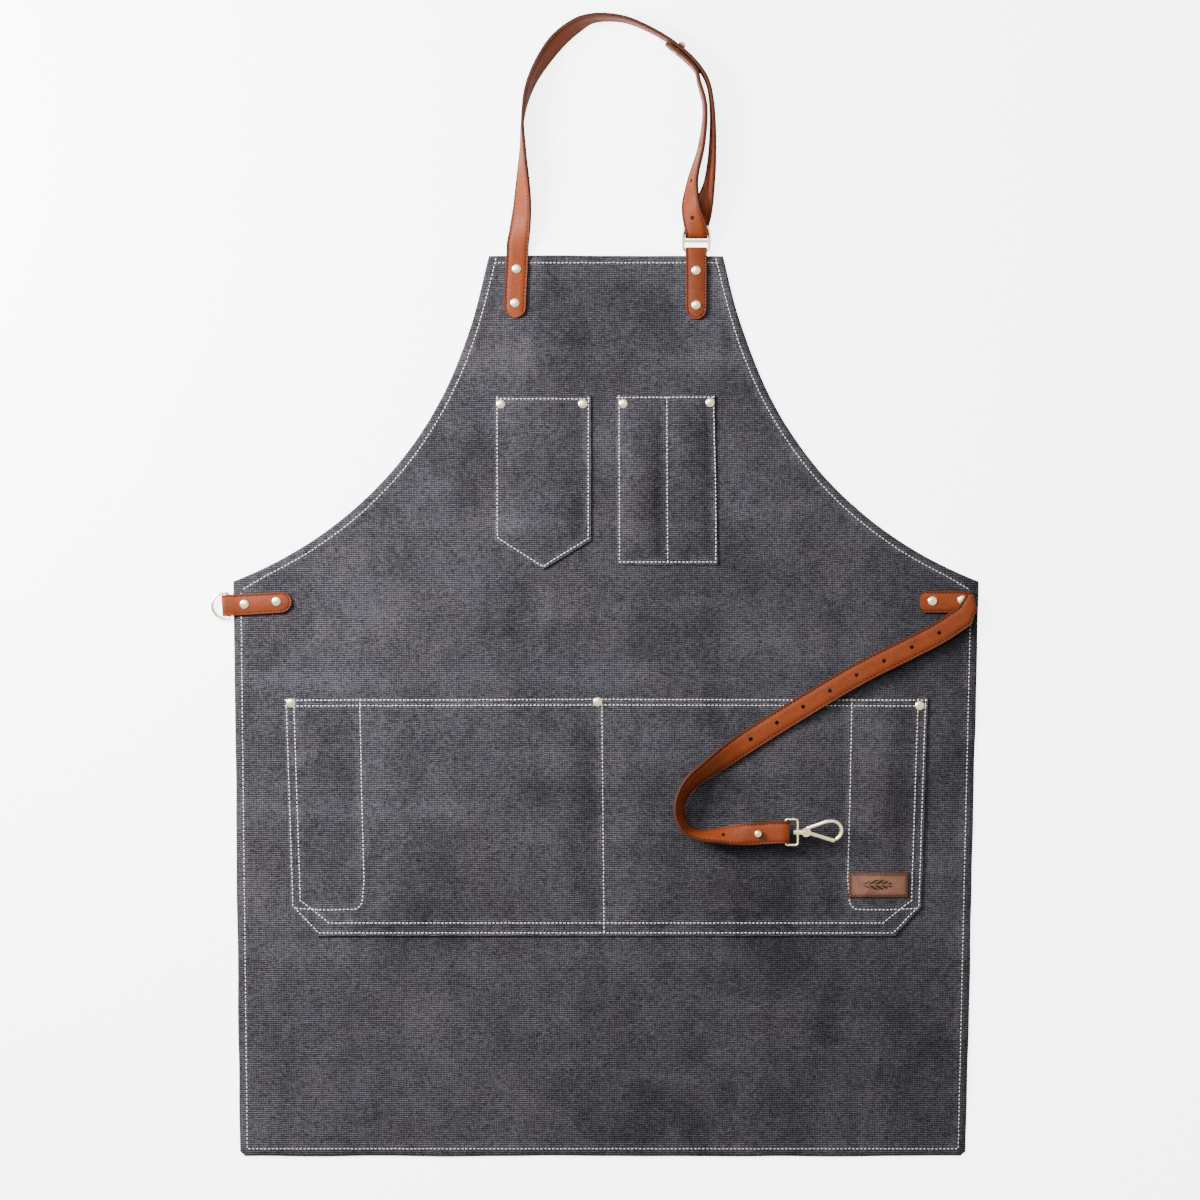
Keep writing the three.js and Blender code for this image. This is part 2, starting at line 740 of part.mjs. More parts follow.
// The returned end lies under the last stretch of the strap, one layer and a stud's flange away.
function waistCourse() {
  const { x, y, z } = claspAxis;
  const turn = [];
  for (let angle = 90; angle >= -90; angle -= 45) {
    const round = THREE.MathUtils.degToRad(angle);
    turn.push([x + loopTurn * Math.cos(round), y, z + loopTurn * Math.sin(round), 270, 0]);
  }
  const returned = bend.slice(-4).reverse().map(([px, py, pz, side]) => {
    return [px, py, Math.min(pz, bend.at(-2)[2]) - layerPitch, side, 0];
  });
  return strapCourse([...diagonal, ...bend, ...turn, ...returned]);
}

function waistStrap() {
  const course = waistCourse();
  const turnAt = course.nearest(claspAxis.x + loopTurn, claspAxis.y, 300, course.length);
  const studAt = course.nearest(141.5, 304.8, 200, turnAt - 10);
  const lowerHoleAt = course.nearest(109.6, 302.5, 200, turnAt - 10);
  const firstHoleAt = course.nearest(312, 491.8, 0, 100);
  const holes = [
    strapHole(course.frame(studAt), studShank, -layerPitch - throughStrap, throughStrap),
    strapHole(course.frame(lowerHoleAt), holeRadius, -throughStrap, throughStrap),
  ];
  for (let count = 0; count < 8; count += 1) {
    const frame = course.frame(firstHoleAt + count * waistHolePitch);
    holes.push(strapHole(frame, holeRadius, -throughStrap, throughStrap));
  }
  const pastFold = prism(
    polygon([[foldLine(480), 480], [foldLine(480) + 60, 480], [foldLine(560) + 60, 560], [foldLine(560), 560]]),
    -10,
    40,
  );
  const body = cut(strap(course, course.length, ["square", "round"]), [pastFold, ...holes]);
  return [piece("waist_strap", surface(body), leather), collarStud("waist", course.frame(studAt))];
}

// ---------------------------------------------------------------- clasp

// The clasp's own frame: X along the swivel from the loop's bar, Z out of the hook's face.
const loopFront = 11.4; // from the bar in the strap to the front bar
const loopHalf = strapWidth / 2 + gap + loopWire;
const bossHalf = 2;
const stemRadius = 1.2;
const pivotX = 19.3; // the gate's pin
const headRadius = 4.3;
const cheekInner = 2.2;
const cheekOuter = 3.2;
const hookWire = 2;
const gateWire = 1.9;
const pinRadius = 1;
const gateAngle = -17; // degrees, from the swivel's line to the gate
const gateReach = 27.6; // from the pin to the gate's tip

function claspLoop() {
  const corner = 2.5;
  const path = new THREE.CurvePath();
  const at = (x, y) => new THREE.Vector3(x, y, 0);
  const corners = [[0, -loopHalf], [loopFront, -loopHalf], [loopFront, loopHalf], [0, loopHalf]];
  corners.forEach(([x, y], i) => {
    const here = at(x, y);
    const next = at(...corners[(i + 1) % 4]);
    const after = at(...corners[(i + 2) % 4]);
    const run = next.clone().sub(here).normalize().multiplyScalar(corner);
    const turn = after.clone().sub(next).normalize().multiplyScalar(corner);
    path.add(new THREE.LineCurve3(here.clone().add(run), next.clone().sub(run)));
    path.add(new THREE.QuadraticBezierCurve3(next.clone().sub(run), next, next.clone().add(turn)));
  });
  const wire = closedWire(path, loopWire, 60);
  const boss = solid(new THREE.CylinderGeometry(3, 3, 2 * bossHalf, 16).rotateZ(Math.PI / 2));
  const bore = solid(new THREE.CylinderGeometry(stemRadius + gap, stemRadius + gap, 10, 16).rotateZ(Math.PI / 2));
  const loop = cut(wire.add(boss.translate([loopFront, 0, 0])), [bore.translate([loopFront, 0, 0])]);
  return piece("clasp_loop", surface(loop), brass);
}

function alongX(profile, sides = 16) {
  return solid(turned(profile, sides).rotateY(Math.PI / 2));
}

function claspHook() {
  const headStart = loopFront - bossHalf - gap;
  const bodyStart = loopFront + bossHalf + gap;
  const swivel = alongX([
    [0, headStart - 1.9],
    [1.8, headStart - 1.9],
    [2.4, headStart - 1.4],
    [2.4, headStart],
    [stemRadius, headStart],
    [stemRadius, bodyStart],
    [2.8, bodyStart],
    [3, bodyStart + 2],
    [2.6, pivotX - 3],
    [0, pivotX - 3],
  ]);
  const at = (x, y) => new THREE.Vector3(pivotX + x, y, 0);
  const points = [at(0.5, 3.6), at(11.3, 7.2), at(18.5, 9.7)];
  const bowCentre = [24.3, 1.6];
  const bowRadius = 8.7;
  for (let angle = 95; angle > -82; angle -= 17.5) {
    const turn = THREE.MathUtils.degToRad(angle);
    points.push(at(bowCentre[0] + bowRadius * Math.cos(turn), bowCentre[1] + bowRadius * Math.sin(turn)));
  }
  const arm = rod(new THREE.CatmullRomCurve3(points), hookWire, 30);
  const slot = new THREE.Shape();
  slot.absarc(0, 0, 2 * headRadius, THREE.MathUtils.degToRad(-75), THREE.MathUtils.degToRad(50));
  slot.lineTo(0, 0);
  slot.closePath();
  const swing = prism(slot, -cheekInner, cheekInner).translate([pivotX, 0, 0]);
  const head = pillar(pivotX, 0, headRadius, -cheekOuter, cheekOuter, 24).subtract(swing);
  const knuckleRoom = pillar(pivotX, 0, 3.1, -cheekInner, cheekInner, 24);
  const pinHole = pillar(pivotX, 0, pinRadius + gap, -5, 5, 16);
  const tipPath = pillar(pivotX, 0, gateReach + gap, -5, 5, 64);
  const noseOnly = box([pivotX + 8, -20, -5], [pivotX + 40, -2.5, 5]);
  const hook = cut(join([swivel, head, arm]), [knuckleRoom, pinHole, tipPath.intersect(noseOnly)]);
  return piece("clasp_hook", surface(hook), brass);
}

function claspGate() {
  const turn = THREE.MathUtils.degToRad(gateAngle);
  const beyond = new THREE.Vector3(Math.cos(turn), Math.sin(turn), 0).multiplyScalar(gateReach + 5);
  const bar = rod(new THREE.LineCurve3(new THREE.Vector3(), beyond), gateWire, 1, 12);
  const arm = bar.intersect(pillar(0, 0, gateReach, -5, 5, 64));
  const knuckle = pillar(0, 0, 2.8, -gateWire, 0.6, 20);
  const above = box([-4, -4, 0.6], [3.2, 4, 3]);
  const bore = pillar(0, 0, pinRadius + gap, -4, 4, 16);
  const gate = piece("clasp_gate", surface(cut(arm, [above]).add(knuckle).subtract(bore)), brass);
  gate.position.x = pivotX;
  return gate;
}

function claspPin() {
  const pin = piece("clasp_gate_pin", turned([
    [0, -cheekOuter - 0.9],
    [1.4, -cheekOuter - 0.8],
    [1.9, -cheekOuter - 0.1],
    [pinRadius, -cheekOuter - 0.1],
    [pinRadius, cheekOuter + 0.1],
    [1.9, cheekOuter + 0.1],
    [1.4, cheekOuter + 0.8],
    [0, cheekOuter + 0.9],
  ], 16), brass);
  pin.position.x = pivotX;
  return pin;
}

function claspSpring() {
  const coil = new THREE.CatmullRomCurve3([]);
  const turns = 2;
  const wire = 0.22;
  for (let step = 0; step <= 10 * turns; step += 1) {
    const angle = (2 * Math.PI * step) / 10;
    const height = 0.95 + (0.5 * step) / 10;
    coil.points.push(new THREE.Vector3(2 * Math.cos(angle), 2 * Math.sin(angle), height));
  }
  const spring = piece("clasp_gate_spring", surface(rod(coil, wire, 40, 6)), brass);
  spring.position.x = pivotX;
  return spring;
}

function clasp() {
  const group = new THREE.Group();
  group.add(claspLoop(), claspHook(), claspGate(), claspPin(), claspSpring());
  group.position.set(claspAxis.x, claspAxis.y, claspAxis.z);
  return group;
}

// ---------------------------------------------------------------- the whole apron

const apron = new THREE.Group();
apron.add(apronBody(), penPocket(), chestPocket(), lowerPocket(), leatherLabel());
apron.add(neckAnchor(), ...neckLoop(), neckTab(), neckRing());
apron.add(waistTab(), waistAnchor(), ...waistStrap(), clasp());
rivets.forEach((rivet) => apron.add(...rivetPair(rivet)));

// The origin is the middle of the bottom hem's back, halfway across the hem.
apron.position.y = -hemWidth / 2;

export default apron;
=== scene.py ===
"""A waxed canvas work apron with riveted pockets and leather straps, lying flat on its back.

Lengths in this file are millimetres, and heights are above the floor, until place() turns them
into the frame's metres.
"""

import math
import random

import bpy
import numpy as np
from bpy.props import FloatProperty, FloatVectorProperty, PointerProperty
from mathutils import Matrix, Vector, noise


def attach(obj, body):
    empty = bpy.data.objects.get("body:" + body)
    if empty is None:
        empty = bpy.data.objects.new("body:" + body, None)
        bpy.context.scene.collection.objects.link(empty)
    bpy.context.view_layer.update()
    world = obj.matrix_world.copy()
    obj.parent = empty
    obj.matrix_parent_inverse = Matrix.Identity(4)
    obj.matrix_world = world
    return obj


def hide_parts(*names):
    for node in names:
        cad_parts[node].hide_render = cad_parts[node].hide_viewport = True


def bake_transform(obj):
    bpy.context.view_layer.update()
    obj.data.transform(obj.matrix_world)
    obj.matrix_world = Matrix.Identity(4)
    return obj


bl_info = {
    "name": "Work apron",
    "version": (1, 0, 0),
    "blender": (4, 5, 0),
    "location": "View3D > Sidebar > Apron",
    "description": "Models and finishes a waxed canvas apron with leather straps",
    "category": "Object",
}

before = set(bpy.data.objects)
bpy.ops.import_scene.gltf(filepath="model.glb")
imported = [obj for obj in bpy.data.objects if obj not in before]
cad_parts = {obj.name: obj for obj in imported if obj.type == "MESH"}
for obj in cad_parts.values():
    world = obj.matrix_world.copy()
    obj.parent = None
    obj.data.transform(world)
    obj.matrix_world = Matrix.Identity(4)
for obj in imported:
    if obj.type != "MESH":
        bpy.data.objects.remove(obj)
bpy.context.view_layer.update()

# ------------------------------------------------------------------ the apron's plan

HEM = 9.5  # width of the turned hem; the frame's origin is halfway across it
BIB_TOP = 846
BIB_HALF = 110
WAIST = 540
WAIST_HALF = 350
HEM_LEFT = -344
HEM_RIGHT = 338
CORNER = 5

PANEL = 2.7  # height of the cloth's face
PANEL_RIPPLE = 0.45  # height of its slow waves
SEAM = 4.5  # height of a pocket's sewn border
POCKET_FACE = 9.0
LEATHER = 5.7  # height of the face of a strap or tab sewn to the panel
LEATHER_SMOOTH = 38  # degrees between faces that still shade as one surface
STRAP_WIDTH = 21
STRAP_THICK = 3
EYE_HEIGHT = 4.2
NECK_EYE_Y = BIB_TOP + 4.7
NECK_TAB_X = 84.7
WAIST_EYE = (-354, 517.6)
WAIST_TAB_TILT = math.radians(3.4)
CLASP = (167.5, 306, POCKET_FACE + 13.4)
FOLD = (343.5, 521)
FOLD_LEAN = 0.294

RIVETS = {
    "neck_strap_upper": (-84, 833.5, LEATHER),
    "neck_strap_lower": (-85.5, 801.5, LEATHER),
    "neck_tab_upper": (84.5, 832, LEATHER),
    "neck_tab_lower": (84.5, 799.5, LEATHER),
    "waist_tab_outer": (-339.5, 518.7, LEATHER),
    "waist_tab_inner": (-309.5, 521.3, LEATHER),
    "waist_strap_outer": (334.3, 522.5, LEATHER),
    "waist_strap_inner": (306.4, 521.7, LEATHER),
    "pen_pocket_outer": (-99, 706.5, SEAM),
    "pen_pocket_inner": (-21.8, 706.8, SEAM),
    "chest_pocket_inner": (16.3, 707, SEAM),
    "chest_pocket_outer": (97.7, 708, SEAM),
    "lower_pocket_left": (-295.8, 426, SEAM),
    "lower_pocket_middle": (-7.8, 427, SEAM),
    "lower_pocket_right": (294.4, 423.5, SEAM),
}


def place(x, y, z):
    """A point of the apron's plan, in the frame's metres."""
    return Vector((x, y - HEM / 2, z)) / 1000


def mix(a, b, share):
    return a + (b - a) * share


def bezier(points, t):
    """A point on a cubic curve with four control points."""
    a, b, c, d = (Vector(p) for p in points)
    s = 1 - t
    return s**3 * a + 3 * s * s * t * b + 3 * s * t * t * c + t**3 * d


ARMHOLE = ((BIB_HALF, BIB_TOP), (124, 795), (147, 621), (WAIST_HALF, WAIST))
ARMHOLE_CURVE = [bezier(ARMHOLE, i / 60) for i in range(60, -1, -1)]
ARMHOLE_X = [p.x for p in ARMHOLE_CURVE]
ARMHOLE_Y = [p.y for p in ARMHOLE_CURVE]


def half_width(y, hem_half):
    """The apron's half width at a height up the plan, on the side with that half at the hem."""
    if y >= WAIST:
        return float(np.interp(y, ARMHOLE_Y, ARMHOLE_X))
    half = mix(hem_half, WAIST_HALF, y / WAIST)
    if y < CORNER:
        half -= CORNER - math.sqrt(max(0, CORNER**2 - (CORNER - y) ** 2))
    return half


def apron_border():
    """The outline as points, anticlockwise from the bottom right corner."""
    levels = [0, 1, 2.5, CORNER] + [WAIST * i / 12 for i in range(1, 12)] + ARMHOLE_Y
    right = [(half_width(y, HEM_RIGHT), y) for y in levels]
    left = [(-half_width(y, -HEM_LEFT), y) for y in levels]
    return right + left[::-1]


def distance_to(points, lines):
    """How far each of an array of plan points is from the nearest of some polylines."""
    nearest = np.full(len(points), 1e6)
    for line in lines:
        for a, b in zip(line, line[1:]):
            a, b = np.array(a, float)[:2], np.array(b, float)[:2]
            run = b - a
            share = np.clip((points - a) @ run / max(run @ run, 1e-9), 0, 1)
            away = points - a - share[:, None] * run
            nearest = np.minimum(nearest, np.hypot(away[:, 0], away[:, 1]))
    return nearest


def smooth(value, low, high):
    share = np.clip((value - low) / (high - low), 0, 1)
    return share * share * (3 - 2 * share)


# ------------------------------------------------------------------ settings


def colour_setting(name, description, default):
    return FloatVectorProperty(
        name=name, description=description, default=default, subtype="COLOR", min=0, max=1
    )


class CanvasSettings(bpy.types.PropertyGroup):
    """The waxed canvas and its sewing thread."""

    dark: colour_setting("Wax colour", "Canvas where the wax is whole", (0.0038, 0.0037, 0.0045))
    rubbed: colour_setting("Rubbed colour", "Canvas where the wax is rubbed off", (0.098, 0.095, 0.111))
    thread: colour_setting("Thread colour", "Sewing thread of the seams", (0.92, 0.90, 0.86))
    stitch_pitch: FloatProperty(
        name="Stitch pitch", description="Distance from one stitch to the next (mm)",
        default=3.7, min=1, max=10,
    )


class LeatherSettings(bpy.types.PropertyGroup):
    """The vegetable-tanned straps and tabs."""

    face: colour_setting("Face colour", "Grain side of the leather", (0.215, 0.041, 0.0085))
    # This colour is the leather's darker mottle, and also its painted shade towards a strap's edges and
    # in its grain's pits.
    deep_and_shade: colour_setting("Deep colour", "Leather in its creases and folds", (0.060, 0.011, 0.003))
    edge: colour_setting("Edge colour", "Cut edge of the leather", (0.045, 0.013, 0.006))
    seam_inset: FloatProperty(
        name="Seam inset", description="From a strap's edge to its line of stitches (mm)",
        default=2.2, min=1, max=5,
    )


class BrassSettings(bpy.types.PropertyGroup):
    """The pale brass of the rivets, rings, studs and clasp."""

    tone: colour_setting("Brass colour", "Polished metal", (0.96, 0.82, 0.53))
    roughness: FloatProperty(
        name="Roughness", description="How dull the polish is", default=0.24, min=0, max=1,
    )


# ------------------------------------------------------------------ shader building


class Shader:
    """A short way to add nodes to a material or a node group."""

    def __init__(self, tree):
        self.tree = tree

    def node(self, kind, **values):
        made = self.tree.nodes.new(kind)
        for name, value in values.items():
            setattr(made, name, value)
        return made

    def link(self, source, target):
        self.tree.links.new(source, target)

    def feed(self, value, socket):
        """Links a node's output to the socket, or sets a plain number or colour on it."""
        if hasattr(value, "is_output"):
            self.link(value, socket)
        elif isinstance(value, (int, float)):
            socket.default_value = value
        else:
            socket.default_value = (*value, 1)

    def fill(self, node, values):
        """Feeds some of a node's inputs, given as {name: value}."""
        for name, value in values.items():
            self.feed(value, node.inputs[name])
        return node

    def math(self, operation, a, b=0.5, clamp=False):
        made = self.node("ShaderNodeMath", operation=operation, use_clamp=clamp)
        self.feed(a, made.inputs[0])
        self.feed(b, made.inputs[1])
        return made.outputs[0]

    def times(self, a, b):
        return self.math("MULTIPLY", a, b)

    def total(self, *terms):
        """The sum of values, each with its weight."""
        result = self.times(*terms[0])
        for value, weight in terms[1:]:
            result = self.math("ADD", result, self.times(value, weight))
        return result

    def attribute(self, name):
        return self.node("ShaderNodeAttribute", attribute_name=name).outputs["Fac"]

    def noise(self, vector, scale, detail=4, rough=0.55, distortion=0):
        values = {"Scale": scale, "Detail": detail, "Roughness": rough, "Distortion": distortion}
        made = self.fill(self.node("ShaderNodeTexNoise"), {"Vector": vector, **values})
        return made.outputs["Fac"]

    def stretch(self, vector, scale):
        """A place whose three axes count differently, so that a pattern on it is drawn out."""
        made = self.node("ShaderNodeMapping")
        self.link(vector, made.inputs["Vector"])
        made.inputs["Scale"].default_value = scale
        return made.outputs[0]

    def span(self, value, low, high, start=0.0, end=1.0):
        """The value, spread from low..high to start..end and held inside them."""
        limits = {"From Min": low, "From Max": high, "To Min": start, "To Max": end}
        made = self.fill(self.node("ShaderNodeMapRange", clamp=True), {"Value": value, **limits})
        return made.outputs["Result"]

    def blend(self, share, a, b):
        made = self.node("ShaderNodeMix", data_type="RGBA")
        for index, value in ((0, share), (6, a), (7, b)):
            self.feed(value, made.inputs[index])
        return made.outputs[2]

    def bump(self, height, strength, distance, normal=None):
        values = {"Height": height, "Strength": strength, "Distance": distance}
        if normal is not None:
            values["Normal"] = normal
        return self.fill(self.node("ShaderNodeBump"), values).outputs[0]


def new_material(name):
    made = bpy.data.materials.new(name)
    made.use_nodes = True
    shader = Shader(made.node_tree)
    principled = made.node_tree.nodes["Principled BSDF"]
    where = shader.node("ShaderNodeTexCoord").outputs["Object"]
    return made, shader, principled, where


def new_group(name, inputs, outputs):
    """A node group with float inputs {name: default} and outputs {name: socket type}."""
    tree = bpy.data.node_groups.new(name, "ShaderNodeTree")
    tree.interface.new_socket("Vector", in_out="INPUT", socket_type="NodeSocketVector")
    for label, default in inputs.items():
        socket = tree.interface.new_socket(label, in_out="INPUT", socket_type="NodeSocketFloat")
        socket.default_value = default
    for label, kind in outputs.items():
        tree.interface.new_socket(label, in_out="OUTPUT", socket_type=kind)
    shader = Shader(tree)
    entry = shader.node("NodeGroupInput")
    exit_node = shader.node("NodeGroupOutput")
    return tree, shader, entry.outputs, exit_node.inputs


def weave_group():
    """Plain-weave yarns: a height for the bump and a mask of the yarns' worn tops."""
    tree, shader, inputs, outputs = new_group(
        "Woven yarns", {"Rows": 520.0}, {"Height": "NodeSocketFloat", "Tops": "NodeSocketFloat"}
    )
    where = inputs["Vector"]
    split = shader.node("ShaderNodeSeparateXYZ")
    shader.link(where, split.inputs[0])
    wander = shader.times(shader.noise(where, 60, 3), 6.0)

    def yarns(axis, stretch, share):
        turn = shader.times(split.outputs[axis], inputs["Rows"])
        turn = shader.times(turn, share * 2 * math.pi)
        slubs = shader.noise(shader.stretch(where, stretch), 1.0, 3, 0.6)
        wave = shader.math("SINE", shader.math("ADD", turn, wander))
        tops = shader.math("ADD", shader.times(wave, 0.5), 0.5)
        return shader.times(tops, shader.math("ADD", slubs, 0.15))

    weft = yarns(1, (260, 900, 300), 1.0)
    warp = yarns(0, (900, 260, 300), 1.23)
    height = shader.total((weft, 0.62), (warp, 0.38))
    shader.link(height, outputs["Height"])
    shader.link(shader.span(height, 0.16, 0.55), outputs["Tops"])
    return tree


def place_group(shader, tree, where, **values):
    made = shader.node("ShaderNodeGroup", node_tree=tree)
    return shader.fill(made, {"Vector": where, **values}).outputs


def canvas_material(settings):
    """Charcoal waxed canvas: cloudy rubbed patches, streaks, creases, seams lighter from rubbed wax and
    from a painted highlight of their pucker, and weave.
    """
    made, shader, principled, where = new_material("waxed_canvas")

    def streaks(stretch, detail, rough, distortion=0):
        return shader.noise(shader.stretch(where, stretch), 1, detail, rough, distortion)

    bands = shader.span(streaks((2.2, 21, 5), 4, 0.6), 0.52, 0.72)
    weave = place_group(shader, weave_group(), where, Rows=520.0)
    seam = shader.attribute("seam")
    clouds = shader.span(shader.noise(where, 7, 6, 0.62, 0.3), 0.36, 0.68)
    blotches = shader.span(shader.noise(where, 26, 5, 0.6, 0.5), 0.38, 0.7)
    falls = shader.span(streaks((14, 3, 5), 5, 0.6), 0.4, 0.72)
    creases = shader.math("SUBTRACT", streaks((9, 11, 5), 2, 0.5, 1.6), 0.5)
    crease = shader.span(shader.math("ABSOLUTE", creases), 0.012, 0.0)
    # Beside the seams the canvas is lighter: rubbed wax, and also a painted highlight of the seams'
    # pucker.
    near_seam = shader.span(seam, 7.0, 0.6)
    patchy = shader.span(shader.noise(where, 70, 4, 0.6), 0.35, 0.65)
    worn_edge = shader.span(shader.attribute("border"), 1.6, 0.3)
    rub = shader.total(
        (clouds, 0.34), (blotches, 0.2), (falls, 0.2), (crease, 0.14), (bands, 0.26),
        (shader.times(near_seam, patchy), 0.34), (worn_edge, 0.25),
    )
    grit = shader.total((streaks((230, 760, 90), 3, 0.7), 0.6), (streaks((760, 240, 90), 3, 0.7), 0.4))
    grit = shader.span(grit, 0.38, 0.64, 0.3, 1.75)
    rub = shader.times(rub, shader.times(grit, 0.9))
    tops = shader.times(weave["Tops"], shader.span(grit, 0.1, 1.9, 0.04, 0.62))
    rub = shader.math("ADD", rub, tops)
    ribs = shader.span(weave["Height"], 0.14, 0.5, 0.3, 1.3)
    rub = shader.math("MULTIPLY", rub, ribs, clamp=True)

    tint = shader.span(shader.noise(where, 13, 3), 0.45, 0.62)
    tinted = shader.blend(shader.times(tint, 0.3), settings.rubbed, (0.110, 0.080, 0.089))
    groove = shader.span(seam, 0.9, 0.2)
    pucker = shader.times(shader.times(shader.noise(where, 110, 2), near_seam), 0.8)
    shape = shader.math("SUBTRACT", pucker, shader.times(groove, 0.5))
    sway = streaks((10, 4, 5), 3, 0.55, 0.6)
    dents = shader.noise(where, 24, 3, 0.5, 0.4)
    slack = shader.bump(shader.math("ADD", sway, shader.times(dents, 0.12)), 0.6, 0.012)
    slow = shader.bump(shape, 0.8, 0.0014, slack)
    shader.fill(principled, {
        "Base Color": shader.blend(rub, settings.dark, tinted),
        "Roughness": shader.span(rub, 0, 1, 0.78, 0.98),
        "Specular IOR Level": 0.06,
        "Sheen Weight": 0.03,
        "Sheen Roughness": 0.5,
        "Normal": shader.bump(weave["Height"], 0.9, 0.0007, slow),
    })
    return made


def thread_material(name, colour):
    """Twisted sewing thread with a fine fuzz."""
    made, shader, principled, where = new_material(name)
    fuzz = shader.noise(where, 1500, 2)
    darker = tuple(0.72 * c for c in colour)
    shader.fill(principled, {
        "Base Color": shader.blend(fuzz, darker, colour),
        "Roughness": 0.75,
        "Specular IOR Level": 0.2,
        "Normal": shader.bump(fuzz, 0.4, 0.0003),
    })
    return made


def leather_material(settings, name="tan_leather", label=False):
    """Oiled leather: mottled face, painted shade towards its edges and in its grain's pits, and dark
    burnished cut edges.
    """
    made, shader, principled, where = new_material(name)
    across = shader.attribute("across")
    pores = shader.node("ShaderNodeTexVoronoi", feature="DISTANCE_TO_EDGE")
    shader.fill(pores, {"Vector": where, "Scale": 900})
    pits = shader.span(pores.outputs["Distance"], 0.0, 0.12)
    mottle = shader.span(shader.noise(where, 45, 6, 0.65, 0.4), 0.35, 0.7)
    fleck = shader.span(shader.noise(where, 420, 4, 0.7), 0.4, 0.75)
    face = (0.24, 0.115, 0.075) if label else settings.face
    deep_and_shade = tuple(0.5 * c for c in settings.deep_and_shade) if label else settings.deep_and_shade
    mottled = tuple(mix(a, b, 0.6) for a, b in zip(face, deep_and_shade))
    body = shader.blend(shader.total((mottle, 0.55), (fleck, 0.25)), face, mottled)
    # Painted shade: the face darkens towards the edges of a strap, tab or label.
    body = shader.blend(shader.times(shader.span(across, 0.6, 0.9), 0.6), body, deep_and_shade)
    edge_share = shader.span(across, 0.94, 0.99)
    colour = shader.blend(edge_share, body, settings.edge)
    # Painted shade in the grain's pits, where the grain's bump dips.
    colour = shader.blend(shader.span(pits, 0.0, 1.0, 0.35, 0.0), colour, deep_and_shade)
    if label:
        pressed = shader.times(shader.attribute("pressed"), 0.9)
        colour = shader.blend(pressed, colour, (0.012, 0.006, 0.004))
    grain = shader.bump(pits, 0.35, 0.00025)
    shader.fill(principled, {
        "Base Color": colour,
        "Roughness": shader.math(
            "ADD", shader.span(mottle, 0, 1, 0.38, 0.52), shader.times(edge_share, 0.2)
        ),
        "Specular IOR Level": 0.14,
        "Normal": shader.bump(shader.noise(where, 160, 4, 0.6), 0.4, 0.0006, grain),
    })
    return made


def brass_material(settings):
    """Pale polished brass with faint tarnish, hairline scuffs and painted shade where it is seen edge-on.
    """
    made, shader, principled, where = new_material("pale_brass")
    tarnish = shader.span(shader.noise(where, 130, 5, 0.6), 0.5, 0.75)
    scuffs = shader.noise(shader.stretch(where, (300, 2600, 900)), 1, 3, 0.6)
    dull, edge_on_shade = (tuple(share * c for c in settings.tone) for share in (0.62, 0.12))
    colour = shader.blend(shader.times(tarnish, 0.5), settings.tone, dull)
    # Painted shade: the brass darkens where it is seen edge-on, on the sides of its domes and rings.
    facing = shader.node("ShaderNodeLayerWeight").outputs["Facing"]
    colour = shader.blend(shader.span(facing, 0.45, 0.95, 0.0, 0.9), colour, edge_on_shade)
    rough = shader.math("ADD", shader.times(scuffs, 0.12), settings.roughness - 0.05)
    shader.fill(principled, {
        "Base Color": colour,
        "Metallic": 1.0,
        "Roughness": shader.math("ADD", rough, shader.times(tarnish, 0.12)),
        "Normal": shader.bump(scuffs, 0.12, 0.0002),
    })
    return made


def dress(piece, material):
    """Gives a piece one material in place of any that it has."""
    piece.data.materials.clear()
    piece.data.materials.append(material)


def material(name):
    return bpy.data.materials[name]


# ------------------------------------------------------------------ modelling helpers


def deselect():
    if bpy.context.object and bpy.context.object.mode != "OBJECT":
        bpy.ops.object.mode_set(mode="OBJECT")
    bpy.ops.object.select_all(action="DESELECT")


def activate(piece):
    deselect()
    piece.select_set(True)
    bpy.context.view_layer.objects.active = piece


def settle(piece, name):
    """Names a finished piece and puts its place in its mesh."""
    activate(piece)
    piece.name = name
    piece.data.name = name
    bpy.ops.object.transform_apply(location=True, rotation=True, scale=True)
    return piece


def apply_modifiers(piece):
    activate(piece)
    for modifier in list(piece.modifiers):
        bpy.ops.object.modifier_apply(modifier=modifier.name)


def smooth_shade(piece, degrees=50):
    """Shades as one surface wherever the faces meet at less than an angle."""
    activate(piece)
    bpy.ops.object.shade_smooth_by_angle(angle=math.radians(degrees))


def from_points(name, points, faces):
    """A mesh object from points in the frame's metres."""
    mesh = bpy.data.meshes.new(name)
    mesh.from_pydata([tuple(p) for p in points], [], faces)
    mesh.update()
    made = bpy.data.objects.new(name, mesh)
    bpy.context.scene.collection.objects.link(made)
    return made


def set_attribute(piece, name, values):
    attribute = piece.data.attributes.new(name, "FLOAT", "POINT")
    attribute.data.foreach_set("value", np.asarray(values, np.float32))


def fit_out(piece, finish, nodes=(), slot=None, body="apron", bend=None):
    """Gives a piece its finish, the frame's nodes that it stands for and its body. The slot is not used.

    With a bend, the piece's place is put into its mesh, and it is attached to no body.
    """
    dress(piece, material(finish))
    if nodes:
        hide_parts(*nodes)
    if bend:
        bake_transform(piece)
    else:
        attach(piece, body)


# ------------------------------------------------------------------ cloth


def ripple(points, amount):
    """Slow waves of the cloth, as heights for an array of plan points."""
    waves = [
        noise.noise(Vector((x / 150, y / 95, 3.1))) + 0.5 * noise.noise(Vector((x / 52, y / 60, 7.7)))
        for x, y in points
    ]
    return amount * np.array(waves)


